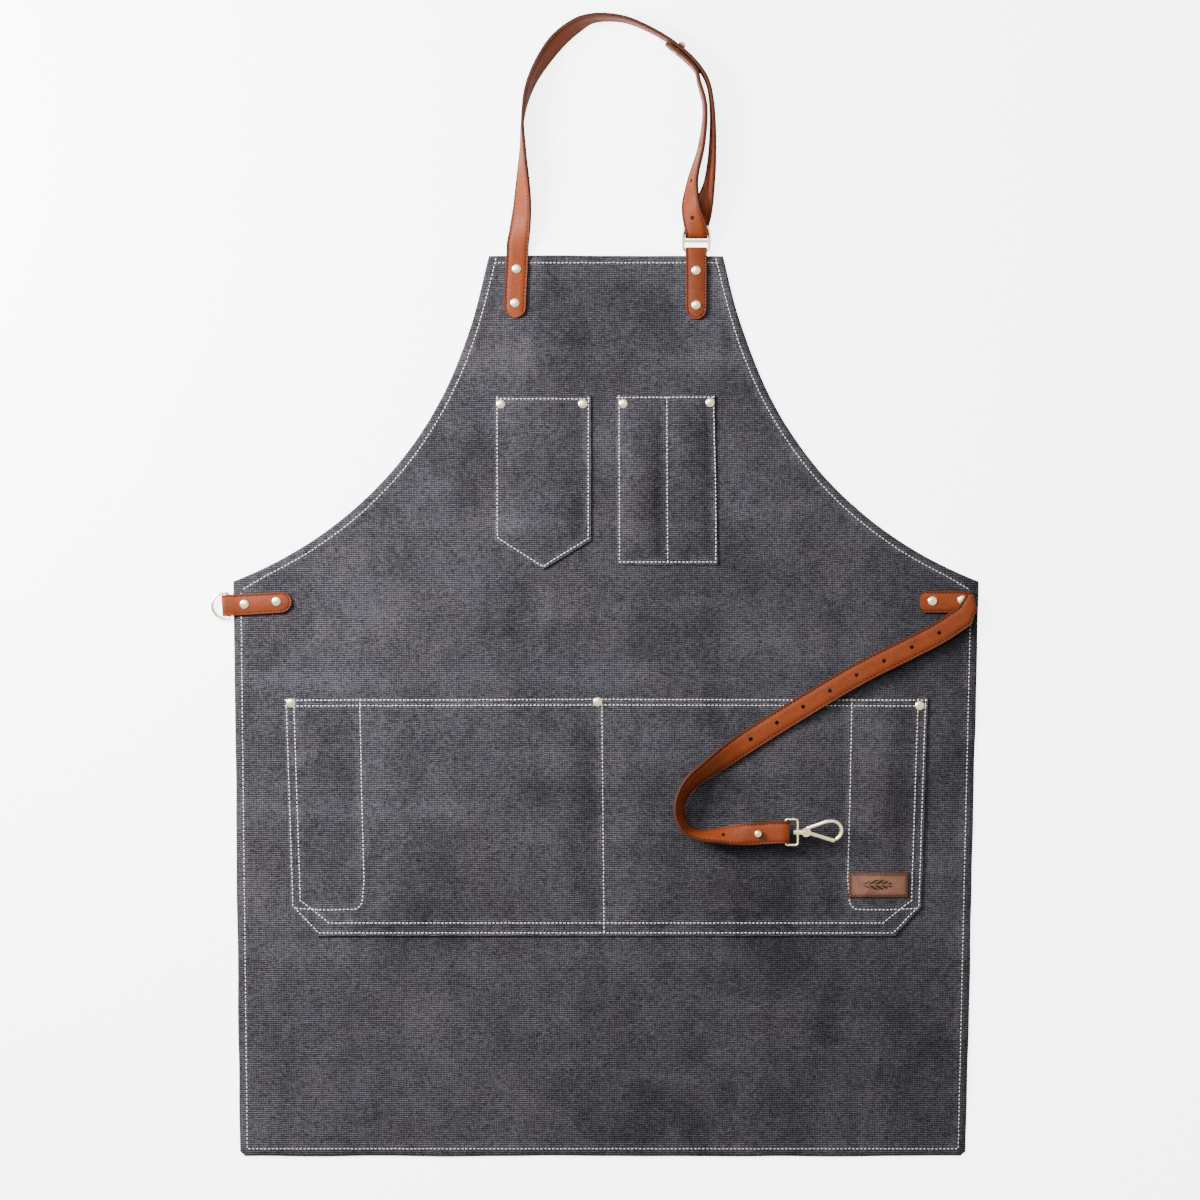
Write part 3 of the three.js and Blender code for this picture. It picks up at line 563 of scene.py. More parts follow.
def cloth_grid(columns, rows, shape, top, bottom, name):
    """A closed panel of cloth: a grid laid into a plan shape, extruded to its back and shaped.

    shape takes two shares from 0 to 1 and gives a plan point; top and bottom take plan points
    and give the heights of the two faces.
    """
    deselect()
    bpy.ops.mesh.primitive_grid_add(x_subdivisions=columns, y_subdivisions=rows, size=1)
    panel = bpy.context.object
    bpy.ops.object.mode_set(mode="EDIT")
    bpy.ops.mesh.select_all(action="SELECT")
    bpy.ops.mesh.extrude_region_move(TRANSFORM_OT_translate={"value": (0, 0, -1)})
    bpy.ops.object.mode_set(mode="OBJECT")
    corner = np.array([v.co for v in panel.data.vertices])
    is_top = corner[:, 2] > -0.5
    plan = np.array([shape(x + 0.5, y + 0.5) for x, y in corner[:, :2]])
    height = np.where(is_top, top(plan), bottom(plan))
    for vertex, (x, y), z in zip(panel.data.vertices, plan, height):
        vertex.co = place(x, y, z)
    bpy.ops.object.mode_set(mode="EDIT")
    bpy.ops.mesh.select_all(action="SELECT")
    bpy.ops.mesh.normals_make_consistent(inside=False)
    bpy.ops.object.mode_set(mode="OBJECT")
    settle(panel, name)
    smooth_shade(panel)
    return panel, plan


def edge_wobble(along, size=0.7):
    """How far a cut or turned edge strays from its line, at a distance along it."""
    return size * noise.noise(Vector((along / 45, 1.7, 0.3)))


class PocketPlan:
    """A pocket's outline, its seams and the heights of its cloth."""

    FLAT = 1.5  # width of the flat cloth beside a seam
    SEWN = 1.8  # height of the sewn cloth above the panel
    HEADROOM = 2.3  # of the space under the pocket's face, what the swell leaves free
    TIGHT_MOUTH = 0.42  # share of the swell that is left at the mouth
    LEAST = 1.5  # least rise of the cloth above the panel
    CLOTH = 1.1  # from the cloth's face to its underside

    def __init__(self, name, outline, mouth, seams, room):
        self.name = name
        self.outline = outline
        self.mouth = mouth
        self.seams = seams
        self.room = room

    def top(self, plan):
        away = distance_to(plan, self.seams)
        swell = 1 - np.exp(-((np.maximum(0, away - self.FLAT) / self.room) ** 2))
        slack = mix(self.TIGHT_MOUTH, 1, smooth(self.mouth - plan[:, 1], 0, 45))
        folds = ripple(plan * 1.6, 0.7) * swell
        rise = self.SEWN + (POCKET_FACE - PANEL - self.HEADROOM) * swell * slack + folds
        return PANEL + np.clip(rise, self.LEAST, POCKET_FACE - PANEL - 0.1)

    def bottom(self, plan):
        away = distance_to(plan, self.seams)
        return mix(PANEL - 0.3, self.top(plan) - self.CLOTH, smooth(away, self.FLAT, 5))


LOWER_TOP = 430.5
LOWER_BOTTOM = 207.5
LOWER_TOP_HALF = 302.3
LOWER_HALF = 296
CHAMFER = (25, 27)
LOWER_DIVIDER = [(-3.8, LOWER_TOP), (-1.7, LOWER_BOTTOM + 2)]


def tool_seam(side):
    """The curved seam of a tool slot, from the mouth round to the pocket's corner."""
    run = [(231, LOWER_TOP), (229, 330), (227, 260)]
    turn = [(mix(227, 236, t), 241 - 9 * math.sin(t * math.pi / 2)) for t in (0.2, 0.5, 0.8)]
    flat = [(236, 232.2), (262, 231.6), (292, 233)]
    return [(side * x, y) for x, y in run + turn + flat]


PEN = {"left": -104.8, "right": -14.1, "top": 713.5, "shoulder": 578.5, "tip": 551.5}
PEN_MIDDLE = (PEN["left"] + PEN["right"]) / 2
CHEST = {"left": 9.5, "right": 104.6, "top": 714.5, "bottom": 556}
CHEST_DIVIDER = [(57.2, 714), (57.9, 557)]


def pocket_plans():
    pen = [
        (PEN["left"], PEN["top"]), (PEN["left"] + 1, PEN["shoulder"]), (PEN_MIDDLE, PEN["tip"]),
        (PEN["right"], PEN["shoulder"]), (PEN["right"] - 0.5, PEN["top"]),
    ]
    chest = [
        (CHEST["left"], CHEST["top"]), (CHEST["left"] + 1, CHEST["bottom"]),
        (CHEST["right"], CHEST["bottom"]), (CHEST["right"] - 2.5, CHEST["top"]),
    ]
    lower = [
        (-LOWER_TOP_HALF, LOWER_TOP),
        (-LOWER_HALF, LOWER_BOTTOM + CHAMFER[1]),
        (CHAMFER[0] - LOWER_HALF, LOWER_BOTTOM),
        (LOWER_HALF - CHAMFER[0], LOWER_BOTTOM),
        (LOWER_HALF, LOWER_BOTTOM + CHAMFER[1]),
        (LOWER_TOP_HALF, LOWER_TOP),
    ]
    return {
        "pen": PocketPlan("pen_pocket_cloth", pen, PEN["top"], [pen], 16),
        "chest": PocketPlan("chest_pocket_cloth", chest, CHEST["top"], [chest, CHEST_DIVIDER], 10),
        "lower": PocketPlan(
            "lower_pocket_cloth", lower, LOWER_TOP,
            [lower, LOWER_DIVIDER, tool_seam(-1), tool_seam(1)], 20,
        ),
    }


POCKETS = pocket_plans()


def outline_span(outline, y):
    """The left and right ends of a simple outline at one height."""
    ends = []
    closed = outline + outline[:1]
    for (ax, ay), (bx, by) in zip(closed, closed[1:]):
        if min(ay, by) <= y <= max(ay, by) and ay != by:
            ends.append(mix(ax, bx, (y - ay) / (by - ay)))
    return min(ends), max(ends)


def panel_top(plan):
    return PANEL + np.clip(ripple(plan, PANEL_RIPPLE), -0.5, 0.25)


def surface(plan):
    """The height of the topmost cloth at an array of plan points."""
    height = panel_top(plan)
    for pocket in POCKETS.values():
        ys = [y for _, y in pocket.outline]
        for i, (x, y) in enumerate(plan):
            if min(ys) < y < max(ys):
                low, high = outline_span(pocket.outline, y)
                if low < x < high:
                    height[i] = pocket.top(plan[i : i + 1])[0]
    return height


# ------------------------------------------------------------------ stitches


def resample(line, pitch):
    """Points and headings at an even pitch along a polyline."""
    points = [Vector(p) for p in line]
    lengths = [0.0]
    for a, b in zip(points, points[1:]):
        lengths.append(lengths[-1] + (b - a).length)
    count = max(1, round(lengths[-1] / pitch))
    spots = []
    for i in range(count):
        along = (i + 0.5) * lengths[-1] / count
        step = int(np.searchsorted(lengths, along)) - 1
        a, b = points[step], points[step + 1]
        share = (along - lengths[step]) / (lengths[step + 1] - lengths[step])
        spots.append((a.lerp(b, share), (b - a).normalized()))
    return spots


def stitch_template():
    """One stitch, a millimetre long from end to end, as points and faces."""
    deselect()
    bpy.ops.mesh.primitive_uv_sphere_add(segments=6, ring_count=4, radius=0.5)
    bead = bpy.context.object
    bead.rotation_euler = (0, math.pi / 2, 0)
    bpy.ops.object.transform_apply(location=False, rotation=True, scale=False)
    points = np.array([v.co for v in bead.data.vertices])
    faces = [tuple(face.vertices) for face in bead.data.polygons]
    bpy.data.objects.remove(bead)
    return points, faces


def sew(name, places, size, thread, **seat):
    """Makes one piece of many stitches of a size (length, width, height).

    Each place is (point, along, up) in millimetres. The seat says what the piece rides on.
    """
    length, width, height = size
    bead, bead_faces = stitch_template()
    points, faces = [], []
    for spot, along, up in places:
        side = up.cross(along).normalized()
        up = along.cross(side).normalized()
        first = len(points)
        for x, y, z in bead:
            local = along * (x * length) + side * (y * width) + up * (z * height)
            points.append(place(*(spot + local)))
        faces += [tuple(first + i for i in face) for face in bead_faces]
    made = from_points(name, points, faces)
    for polygon in made.data.polygons:
        polygon.use_smooth = True
    fit_out(made, thread, **seat)


def on_cloth(lines, pitch, rng):
    """Stitch places that lie on the topmost cloth along plan lines."""
    places = []
    for line in lines:
        spots = resample(line, pitch)
        plan = np.array([(p.x, p.y) for p, _ in spots])
        ahead = plan + np.array([(h.x, h.y) for _, h in spots])
        here, there = surface(plan), surface(ahead)
        for (x, y), (_, heading), z, z_next in zip(plan, spots, here, there):
            jitter = rng.uniform(-0.12, 0.12)
            slope = max(-1.0, min(1.0, z_next - z))
            along = Vector((heading.x, heading.y, slope)).normalized()
            turn = Matrix.Rotation(rng.uniform(-0.06, 0.06), 3, "Z")
            spot = Vector((x - heading.y * jitter, y + heading.x * jitter, z + 0.12))
            places.append((spot, turn @ along, Vector((0, 0, 1))))
    return places


def inset_line(line, distance):
    """A polyline moved to its left by a distance."""
    moved = []
    for i, point in enumerate(line):
        before = Vector(line[max(0, i - 1)])
        after = Vector(line[min(len(line) - 1, i + 1)])
        run = (after - before).normalized()
        moved.append((point[0] - run.y * distance, point[1] + run.x * distance))
    return moved


HEM_SEAM = 7.2  # from the panel's edge to its stitches
BIB_SEAM = 6.6


def hem_seams():
    top_half = BIB_HALF - 4.5
    side_top = WAIST - 10  # the sides' seams end under the armholes' seams
    armhole = [tuple(p) for p in ARMHOLE_CURVE]
    right_arm = [(341.2, WAIST - 7.6)] + inset_line(armhole, HEM_SEAM)[3:]
    left_arm = [(-x, y) for x, y in right_arm]
    left_corner = (HEM_LEFT + HEM_SEAM, HEM_SEAM)
    right_corner = (HEM_RIGHT - HEM_SEAM, HEM_SEAM)
    right_side = [right_corner, (WAIST_HALF - HEM_SEAM, side_top)]
    left_side = [left_corner, (-WAIST_HALF + HEM_SEAM, side_top)]
    top = [(-top_half, BIB_TOP - BIB_SEAM), (top_half, BIB_TOP - BIB_SEAM)]
    return [[left_corner, right_corner], right_side, left_side, right_arm, left_arm, top]


def pocket_seams():
    pen = [
        (-102.2, 714.6), (-101.9, 581), (-59.3, 554), (-16.6, 580.5), (-16.4, 714.6),
    ]
    pen_top = [(-104, 711.4), (-14.5, 711.4)]
    chest = [(12.4, 715.6), (12.8, 558.3), (103.2, 558.3), (103.2, 620), (101.2, 700), (101.4, 715.6)]
    chest_top = [(9.5, 712.6), (102, 712.9)]
    rows = []
    # From the lower pocket's side, its bottom, and both ends of its cut-off corner.
    for side, low, rise, pull in ((2.2, 2.6, 1, 1.2), (9.2, 12.0, 6, 11.2)):
        right = [
            (LOWER_TOP_HALF - side, LOWER_TOP),
            (LOWER_HALF - side, LOWER_BOTTOM + CHAMFER[1] + rise),
            (LOWER_HALF - CHAMFER[0] - pull, LOWER_BOTTOM + low),
        ]
        rows.append(right + [(-x, y) for x, y in right[::-1]])
    mouth = []
    for drop in (2.0, 7.3):
        y = LOWER_TOP - drop
        mouth.append([(-LOWER_TOP_HALF, y), (0, y + 0.8), (LOWER_TOP_HALF, y)])
    dividers = [LOWER_DIVIDER, CHEST_DIVIDER, tool_seam(1), tool_seam(-1)]
    return [pen, pen_top, chest, chest_top, *rows, *mouth, *dividers]


# ------------------------------------------------------------------ straps


def hermite(start, start_run, end, end_run, t):
    """A value between two, which leaves the one and meets the other at the given rates."""
    return (
        (2 * t**3 - 3 * t * t + 1) * start + (t**3 - 2 * t * t + t) * start_run
        + (3 * t * t - 2 * t**3) * end + (t**3 - t * t) * end_run
    )


class Course:
    """A strap's course through rows of [x, y, z, side, lean].

    side is the heading in degrees of the strap's right-hand edge, and lean how far that edge is
    raised. Between the rows it follows a centripetal curve.
    """

    STEPS = 24  # samples from one row to the next
    NUDGE = 0.01  # to each side, for the direction at a point

    def __init__(self, rows):
        self.points = [Vector(row[:3]) for row in rows]
        self.turns = [Vector((row[3], row[4], 0)) for row in rows]
        self.samples = []
        along = 0.0
        last = None
        for i in range(len(rows) - 1):
            for step in range(self.STEPS + (i == len(rows) - 2)):
                at = self.centre(i, step / self.STEPS)
                along += (at - last).length if last is not None else 0
                last = at
                self.samples.append((along, i, step / self.STEPS))
        self.lengths = [sample[0] for sample in self.samples]
        self.length = along

    def around(self, values, i):
        before = values[i - 1] if i > 0 else 2 * values[0] - values[1]
        after = values[i + 2] if i + 2 < len(values) else 2 * values[-1] - values[-2]
        return before, values[i], values[i + 1], after

    def centre(self, i, t):
        p0, p1, p2, p3 = self.around(self.points, i)
        d0, d1, d2 = (max(1e-4, (b - a).length ** 0.5) for a, b in ((p0, p1), (p1, p2), (p2, p3)))
        start_run = ((p1 - p0) / d0 - (p2 - p0) / (d0 + d1) + (p2 - p1) / d1) * d1
        end_run = ((p2 - p1) / d1 - (p3 - p1) / (d1 + d2) + (p3 - p2) / d2) * d1
        return hermite(p1, start_run, p2, end_run, t)

    def turning(self, i, t):
        p0, p1, p2, p3 = self.around(self.turns, i)
        return hermite(p1, 0.4 * (p2 - p0), p2, 0.4 * (p3 - p1), t)

    def frame(self, distance):
        """The centre, across and normal at a distance along the strap."""
        distance = float(distance)
        step = min(max(int(np.searchsorted(self.lengths, distance)), 1), len(self.lengths) - 1)
        before, after = self.samples[step - 1], self.samples[step]
        share = (distance - before[0]) / max(1e-9, after[0] - before[0])
        end_t = after[2] if after[1] == before[1] else 1.0
        i = before[1]
        t = mix(before[2], end_t, min(1.0, max(0.0, share)))
        ahead, behind = self.centre(i, min(1, t + self.NUDGE)), self.centre(i, max(0, t - self.NUDGE))
        along = (ahead - behind).normalized()
        side, lean = (math.radians(v) for v in self.turning(i, t)[:2])
        level = math.cos(lean)
        across = Vector((level * math.cos(side), level * math.sin(side), math.sin(lean)))
        normal = across.cross(along).normalized()
        return self.centre(i, t), along.cross(normal), normal

    def nearest(self, x, y, start, end):
        """The distance along the strap, from start to end, that lies nearest a plan point."""
        spot = Vector((x, y))
        return min(np.arange(start, end, 0.5), key=lambda d: (self.frame(d)[0].xy - spot).length)


HALF = STRAP_WIDTH / 2
THICK = STRAP_THICK / 2
# Half of a strap's cross-section, with its two sewing grooves: shares of the strap's half width,
# with heights as shares of half its thickness.
STRAP_PROFILE = [
    (1.0, 0.0), (1.0, 0.5), (0.985, 0.8), (0.955, 1.0), (0.84, 1.0),
    (0.81, 0.86), (0.77, 0.86), (0.74, 1.0), (0.35, 1.03),
]


def ribbon(name, stations, profile=STRAP_PROFILE):
    """A strap through stations of (centre, across, normal, share of thickness).

    A grid is rolled round the cross-section along the stations, then its seam and ends are closed.
    """
    loop = profile + [(-x, z) for x, z in profile[::-1]]
    loop += [(-x, -z) for x, z in profile[1:]] + [(x, -z) for x, z in profile[:0:-1]]
    rows, count = len(stations) - 1, len(loop)
    deselect()
    bpy.ops.mesh.primitive_grid_add(x_subdivisions=rows, y_subdivisions=count, size=1)
    strap = bpy.context.object
    across_values = []
    for vertex in strap.data.vertices:
        centre, across, normal, thick = stations[round((vertex.co.x + 0.5) * rows)]
        x, z = loop[round((vertex.co.y + 0.5) * count) % count]
        vertex.co = place(*(centre + across * x + normal * (z * THICK * thick)))
        across_values.append(abs(x))
    set_attribute(strap, "across", across_values)
    bpy.ops.object.mode_set(mode="EDIT")
    bpy.ops.mesh.select_all(action="SELECT")
    bpy.ops.mesh.remove_doubles(threshold=1e-6)
    bpy.ops.mesh.fill_holes(sides=0)
    bpy.ops.mesh.select_all(action="SELECT")
    bpy.ops.mesh.normals_make_consistent(inside=False)
    bpy.ops.object.mode_set(mode="OBJECT")
    return settle(strap, name)


def round_share(from_end, radius=HALF):
    """The share of its width that a rounded end has at a distance from its tip."""
    inside = max(0.0, radius - from_end)
    return math.sqrt(max(0.0, radius**2 - inside**2)) / radius


def end_steps(half, angles):
    """Distances from a rounded end's tip at which its outline is drawn."""
    return [half * (1 - math.cos(math.radians(angle))) for angle in angles]


END_STEPS = end_steps(HALF, (9, 20, 32, 45, 58, 72))
STATION_PITCH = 3.0


def course_stations(course, start, end, round_start=False, turn=1):
    """Stations along a course to its rounded end. A turn of -1 takes the strap's other face."""
    distances = list(np.arange(start, end, STATION_PITCH)) + [end]
    distances += [start + s for s in END_STEPS] if round_start else []
    distances += [end - s for s in END_STEPS]
    stations = []
    for distance in sorted(set(distances)):
        share = round_share(end - distance)
        if round_start:
            share = min(share, round_share(distance - start))
        if share < 0.1:
            continue
        centre, across, normal = course.frame(distance)
        stations.append((centre, across * HALF * share * turn, normal * turn, 1.0))
    return stations


def punch(piece, holes):
    """Cuts round holes. Each is (centre, normal, radius, depth), in millimetres."""
    deselect()
    tools = []
    for centre, normal, radius, depth in holes:
        turn = normal.to_track_quat("Z", "Y").to_euler()
        bpy.ops.mesh.primitive_cylinder_add(
            vertices=16, radius=radius / 1000, depth=depth / 1000, location=place(*centre), rotation=turn)
        tools.append(bpy.context.object)
    deselect()
    for tool in tools:
        tool.select_set(True)
    bpy.context.view_layer.objects.active = tools[0]
    bpy.ops.object.join()
    punches = bpy.context.object
    cut = piece.modifiers.new("holes", "BOOLEAN")
    cut.operation = "DIFFERENCE"
    cut.solver = "EXACT"
    cut.object = punches
    apply_modifiers(piece)
    bpy.data.objects.remove(punches)


def strap_stitches(stations, inset, pitch):
    """Stitch places in the grooves along both edges of a strap, on both of its faces."""
    full = [station for station in stations if station[1].length >= 0.8 * HALF]
    places = []
    for side in (-1, 1):
        for face in (-1, 1):
            line, ups = [], []
            for centre, across, normal, _ in full:
                reach = (across.length - inset) / across.length
                line.append(centre + across * side * reach + normal * face * (THICK * 0.93))
                ups.append(normal * face)
            lengths = np.cumsum([0] + [(b - a).length for a, b in zip(line, line[1:])])
            for along in np.arange(pitch / 2, lengths[-1], pitch):
                i = int(np.searchsorted(lengths, along)) - 1
                t = (along - lengths[i]) / (lengths[i + 1] - lengths[i])
                heading = (line[i + 1] - line[i]).normalized()
                places.append((line[i].lerp(line[i + 1], t), heading, ups[i].lerp(ups[i + 1], t)))
    return places


def hole(course, distance, radius=2.0, depth=6, below=0):
    """A hole square through a strap, at a distance along it, for punch()."""
    centre, _, normal = course.frame(distance)
    return centre - normal * below, normal, radius, depth


def stud_hole(course, distance):
    """A hole through both layers of a strap, at its stud."""
    return hole(course, distance, radius=1.9, depth=12, below=LAYER_PITCH / 2)


def make_strap(name, body, stations, holes, inset, start, end):
    """A punched and sewn strap, with its place put into its mesh rather than on a body."""
    strap = ribbon(f"{name}_leather", stations)
    punch(strap, holes)
    smooth_shade(strap, LEATHER_SMOOTH)
    bend = {"start": start, "end": end}
    fit_out(strap, "tan_leather", (name, f"{name}_anchor"), "leather", body, bend)
    places = strap_stitches(stations, inset, STRAP_STITCH_PITCH)
    sew(f"{name}_stitches", places, STRAP_STITCH, "brown_thread", body=body, bend=bend)


LAYER_PITCH = 4.2  # between the two layers of a strap at its stud
STRAP_STITCH = (2.3, 1.0, 0.6)
STRAP_STITCH_PITCH = 3.6

NECK_STUD = (68.6, 1039.4)
NECK_BUTTON = (66, 1036.6)  # the buttoned layer's place over the stud
NECK_TIP = (55.5, 1043.5)
NECK_HOLE_PITCH = 35
WAIST_STUD = (141.5, 304.8)
WAIST_FIRST_HOLE = (312, 491.8)
WAIST_HOLE_PITCH = 29
WAIST_TIP_HOLE = (109.6, 302.5)

NECK_OUTWARD = [
    (-83, NECK_EYE_Y, EYE_HEIGHT, 0, 0),
    (-82.8, 856.5, 4.5, 0, 6),
    (-81, 868, 5.9, 0, 21),
    (-78.5, 893, 8.6, 0, 40),
    (-78, 944, 11.2, 0, 78),
    (-77.8, 976, 11.4, -4, 90),
    (-70, 1008, 11.2, -24, 107),
    (-48, 1043.5, 9.9, -38, 127),
    (-27.5, 1061, 10.6, -54, 118),
    (-13.5, 1067.3, 11.2, -74, 102),
    (3, 1068.3, 11.4, -90, 96),
    (20.5, 1065.6, 11.5, -103, 92),
    (44, 1055.5, 11.5, -118, 90),
    (61.5, 1045, 11.5, -128, 90),
    (68.6, 1039.4, 11.5, -128, 90),
    (75.7, 1033.8, 11.5, -128, 90),
    (88, 1020.5, 11.5, -143, 90),
    (95.5, 1007, 11.5, -160, 91),
    (99.3, 985, 11.5, -174, 94),
    (99.8, 948.5, 11.4, -180, 101),
    (97, 915, 10.9, -180, 113),
    (91.5, 892, 8, -180, 142),
    (87, 878, 3.2, -180, 170),
]
NECK_HOMEWARD = [
    (79.5, 890, 16, -180, 142),
    (81, 915, 13.2, -180, 113),
    (89.5, 948.5, 11.8, -180, 101),
    (92.6, 985, 11.5, -174, 94),
    (87, 1008, 11.5, -158, 91),
]
NECK_TURN = (867.9, 7.2, 5)  # y, z and radius of the turn through the ring
NECK_ANCHOR = [
    (-85.5, 787.5, EYE_HEIGHT, 0, 0),
    (-85, 810, EYE_HEIGHT, 0, 0),
    (-83.6, 835, EYE_HEIGHT, 0, 0),
    (-83, NECK_EYE_Y, EYE_HEIGHT, 0, 0),
]


def neck_course():
    y, z, radius = NECK_TURN
    turn = []
    for angle in range(-90, 91, 45):
        bend = math.radians(angle)
        turn.append((NECK_TAB_X, y - radius * math.cos(bend), z + radius * math.sin(bend), -180, 180))
    doubled = [row for row in NECK_OUTWARD if row[0] > 40 and row[1] > 1020]
    buttoned = []
    for x, y, z, side, lean in doubled[::-1]:
        inwards = math.radians(side)
        inner_x = x + LAYER_PITCH * math.cos(inwards)
        inner_y = y + LAYER_PITCH * math.sin(inwards)
        buttoned.append((inner_x, inner_y, z, side, lean))
    return Course(NECK_ANCHOR[:-1] + NECK_OUTWARD + turn + NECK_HOMEWARD + buttoned)


FOLDED_HEIGHT = LEATHER + 1.9 + THICK
LYING_HEIGHT = POCKET_FACE + 0.3 + THICK
WAIST_DIAGONAL = [
    (358, 522.2, FOLDED_HEIGHT, 122, 0),
    (345, 513.6, FOLDED_HEIGHT, 122, 0),
    (312, 491.8, FOLDED_HEIGHT + 0.6, 121, 0),
    (286.5, 478.5, LYING_HEIGHT - 0.4, 119, 0),
    (239.5, 455, LYING_HEIGHT, 118, 0),
    (188.5, 425, LYING_HEIGHT, 120, 0),
    (134.5, 391.5, LYING_HEIGHT + 0.9, 122, 3),
]
# Heights here are above the pockets' faces.
WAIST_BEND = [
    (116, 379.5, 5.4, 124, 18),
    (99, 367.5, 7.9, 128, 35),
    (79.2, 351.8, 9.8, 146, 50),
    (69.4, 335.2, 10.8, 171, 62),
    (68.8, 320.4, 11.1, 196, 66),
    (75, 308.6, 11.4, 225, 68),
    (87, 303, 11.8, 255, 66),
    (104, 302.4, 12.4, 268, 56),
    (120, 303.2, 13.4, 270, 30),
    (134, 304.2, 14.1, 270, 2),
    (141.5, 304.8, 14.2, 270, 0),
    (149, 305.3, 14.3, 270, 0),
    (158, 305.8, 15.4, 270, 0),
]
LOOP_TURN = 3.0  # radius of the strap's turn round the clasp's loop


def waist_course():
    bend = [(x, y, POCKET_FACE + height, side, lean) for x, y, height, side, lean in WAIST_BEND]
    x, y, z = CLASP
    turn = []
    for angle in range(90, -91, -45):
        a = math.radians(angle)
        turn.append((x + LOOP_TURN * math.cos(a), y, z + LOOP_TURN * math.sin(a), 270, 0))
    returned = [
        (px, py, min(pz, bend[-2][2]) - LAYER_PITCH, side, 0) for px, py, pz, side, _ in bend[:-5:-1]
    ]
    return Course(WAIST_DIAGONAL + bend + turn + returned)


# ------------------------------------------------------------------ operators


SETTINGS = {
    "apron_canvas": CanvasSettings,
    "apron_leather": LeatherSettings,
    "apron_brass": BrassSettings,
}


def apron_settings(scene):
    return [getattr(scene, name) for name in SETTINGS]


def start_work(context):
    deselect()
    return apron_settings(context.scene)


class APRON_OT_materials(bpy.types.Operator):
    """Makes the canvas, thread, leather and brass finishes and dresses the kept frame pieces"""

    bl_idname = "apron.materials"
    bl_label = "Finishes"

    def execute(self, context):
        canvas, leather, brass = start_work(context)
        canvas_material(canvas)
        thread_material("pale_thread", tuple(canvas.thread))
        thread_material("brown_thread", tuple(0.2 * c for c in leather.deep_and_shade))
        leather_material(leather)
        leather_material(leather, "label_leather", label=True)
        brass_material(brass)
        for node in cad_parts.values():
            dress(node, material("pale_brass"))
        return {"FINISHED"}


class APRON_OT_panel(bpy.types.Operator):
    """Lays the apron's canvas panel with its turned hem"""

    bl_idname = "apron.panel"
    bl_label = "Apron panel"

    def execute(self, context):
        start_work(context)
        border = apron_border()
        border.append(border[0])
        waist_share = 0.64  # of the rows, so that one row lies on the waist's corners

        def shape(u, v):
            y = float(np.interp(v, (0, waist_share, 1), (0, WAIST, BIB_TOP)))
            left = -half_width(y, -HEM_LEFT) + edge_wobble(y)
            right = half_width(y, HEM_RIGHT) + edge_wobble(y + 900)
            x = mix(left, right, u)
            return x, y + (edge_wobble(x + 400, 0.9) if v in (0, 1) else 0)

        def top(plan):
            away = distance_to(plan, [border])
            ridge = 0.25 * smooth(away, 0, 2) - 0.35 * smooth(away, 8, 14)
            rolled = -1.1 * (1 - smooth(away, 0, 1.4))
            return np.maximum(panel_top(plan) + ridge + rolled, 0.9)

        def bottom(plan):
            return mix(0.02, 1.5, smooth(distance_to(plan, [border]), HEM - 2, HEM + 3))

        panel, plan = cloth_grid(150, 200, shape, top, bottom, "apron_cloth")
        set_attribute(panel, "seam", distance_to(plan, hem_seams()))
        set_attribute(panel, "border", distance_to(plan, [border]))
        fit_out(panel, "waxed_canvas", ["apron_body"], "canvas")
        return {"FINISHED"}


class APRON_OT_pockets(bpy.types.Operator):
    """Shapes the three patch pockets, puffed between their seams and open at the mouth"""

    bl_idname = "apron.pockets"
    bl_label = "Pockets"

    def execute(self, context):
        start_work(context)
        seams = pocket_seams()

        def pen_shape(u, v):
            x = mix(PEN["left"], PEN["right"], u)
            low = mix(PEN["tip"], PEN["shoulder"], abs(x - PEN_MIDDLE) / (PEN["right"] - PEN_MIDDLE))
            return x + edge_wobble(700 * v, 0.5), mix(low, PEN["top"], v) + edge_wobble(x, 0.6)

        def straight_shape(pocket):
            low = min(y for _, y in pocket.outline)

            def shape(u, v):
                y = mix(low, pocket.mouth, v)
                left, right = outline_span(pocket.outline, y)
                x = mix(left, right, u)
                return x + edge_wobble(700 * v, 0.5), y + edge_wobble(x, 0.6)

            return shape

        jobs = [
            ("pen", pen_shape, (46, 80), (0.0907, 0.162), 0.0136),
            ("chest", straight_shape(POCKETS["chest"]), (48, 80), (0.0951, 0.1585), 0.0150),
            ("lower", straight_shape(POCKETS["lower"]), (200, 90), (0.6046, 0.223), 0.1325),
        ]
        for key, shape, (columns, rows), flat, area in jobs:
            pocket = POCKETS[key]
            border = pocket.outline + pocket.outline[:1]
            cloth, plan = cloth_grid(columns, rows, shape, pocket.top, pocket.bottom, pocket.name)
            set_attribute(cloth, "seam", distance_to(plan, seams))
            set_attribute(cloth, "border", distance_to(plan, [border]))
            fit_out(cloth, "waxed_canvas", [f"{key}_pocket"], "canvas")
        return {"FINISHED"}


class APRON_OT_stitching(bpy.types.Operator):
    """Sews the pale stitches of the hem and the pockets"""

    bl_idname = "apron.stitching"
    bl_label = "Canvas stitches"

    def execute(self, context):
        canvas, _, _ = start_work(context)
        rng = random.Random(7)
        pitch = canvas.stitch_pitch
        for name, lines in (("hem_stitches", hem_seams()), ("pocket_stitches", pocket_seams())):
            sew(name, on_cloth(lines, pitch, rng), (0.74 * pitch, 1.0, 0.8), "pale_thread")
        return {"FINISHED"}


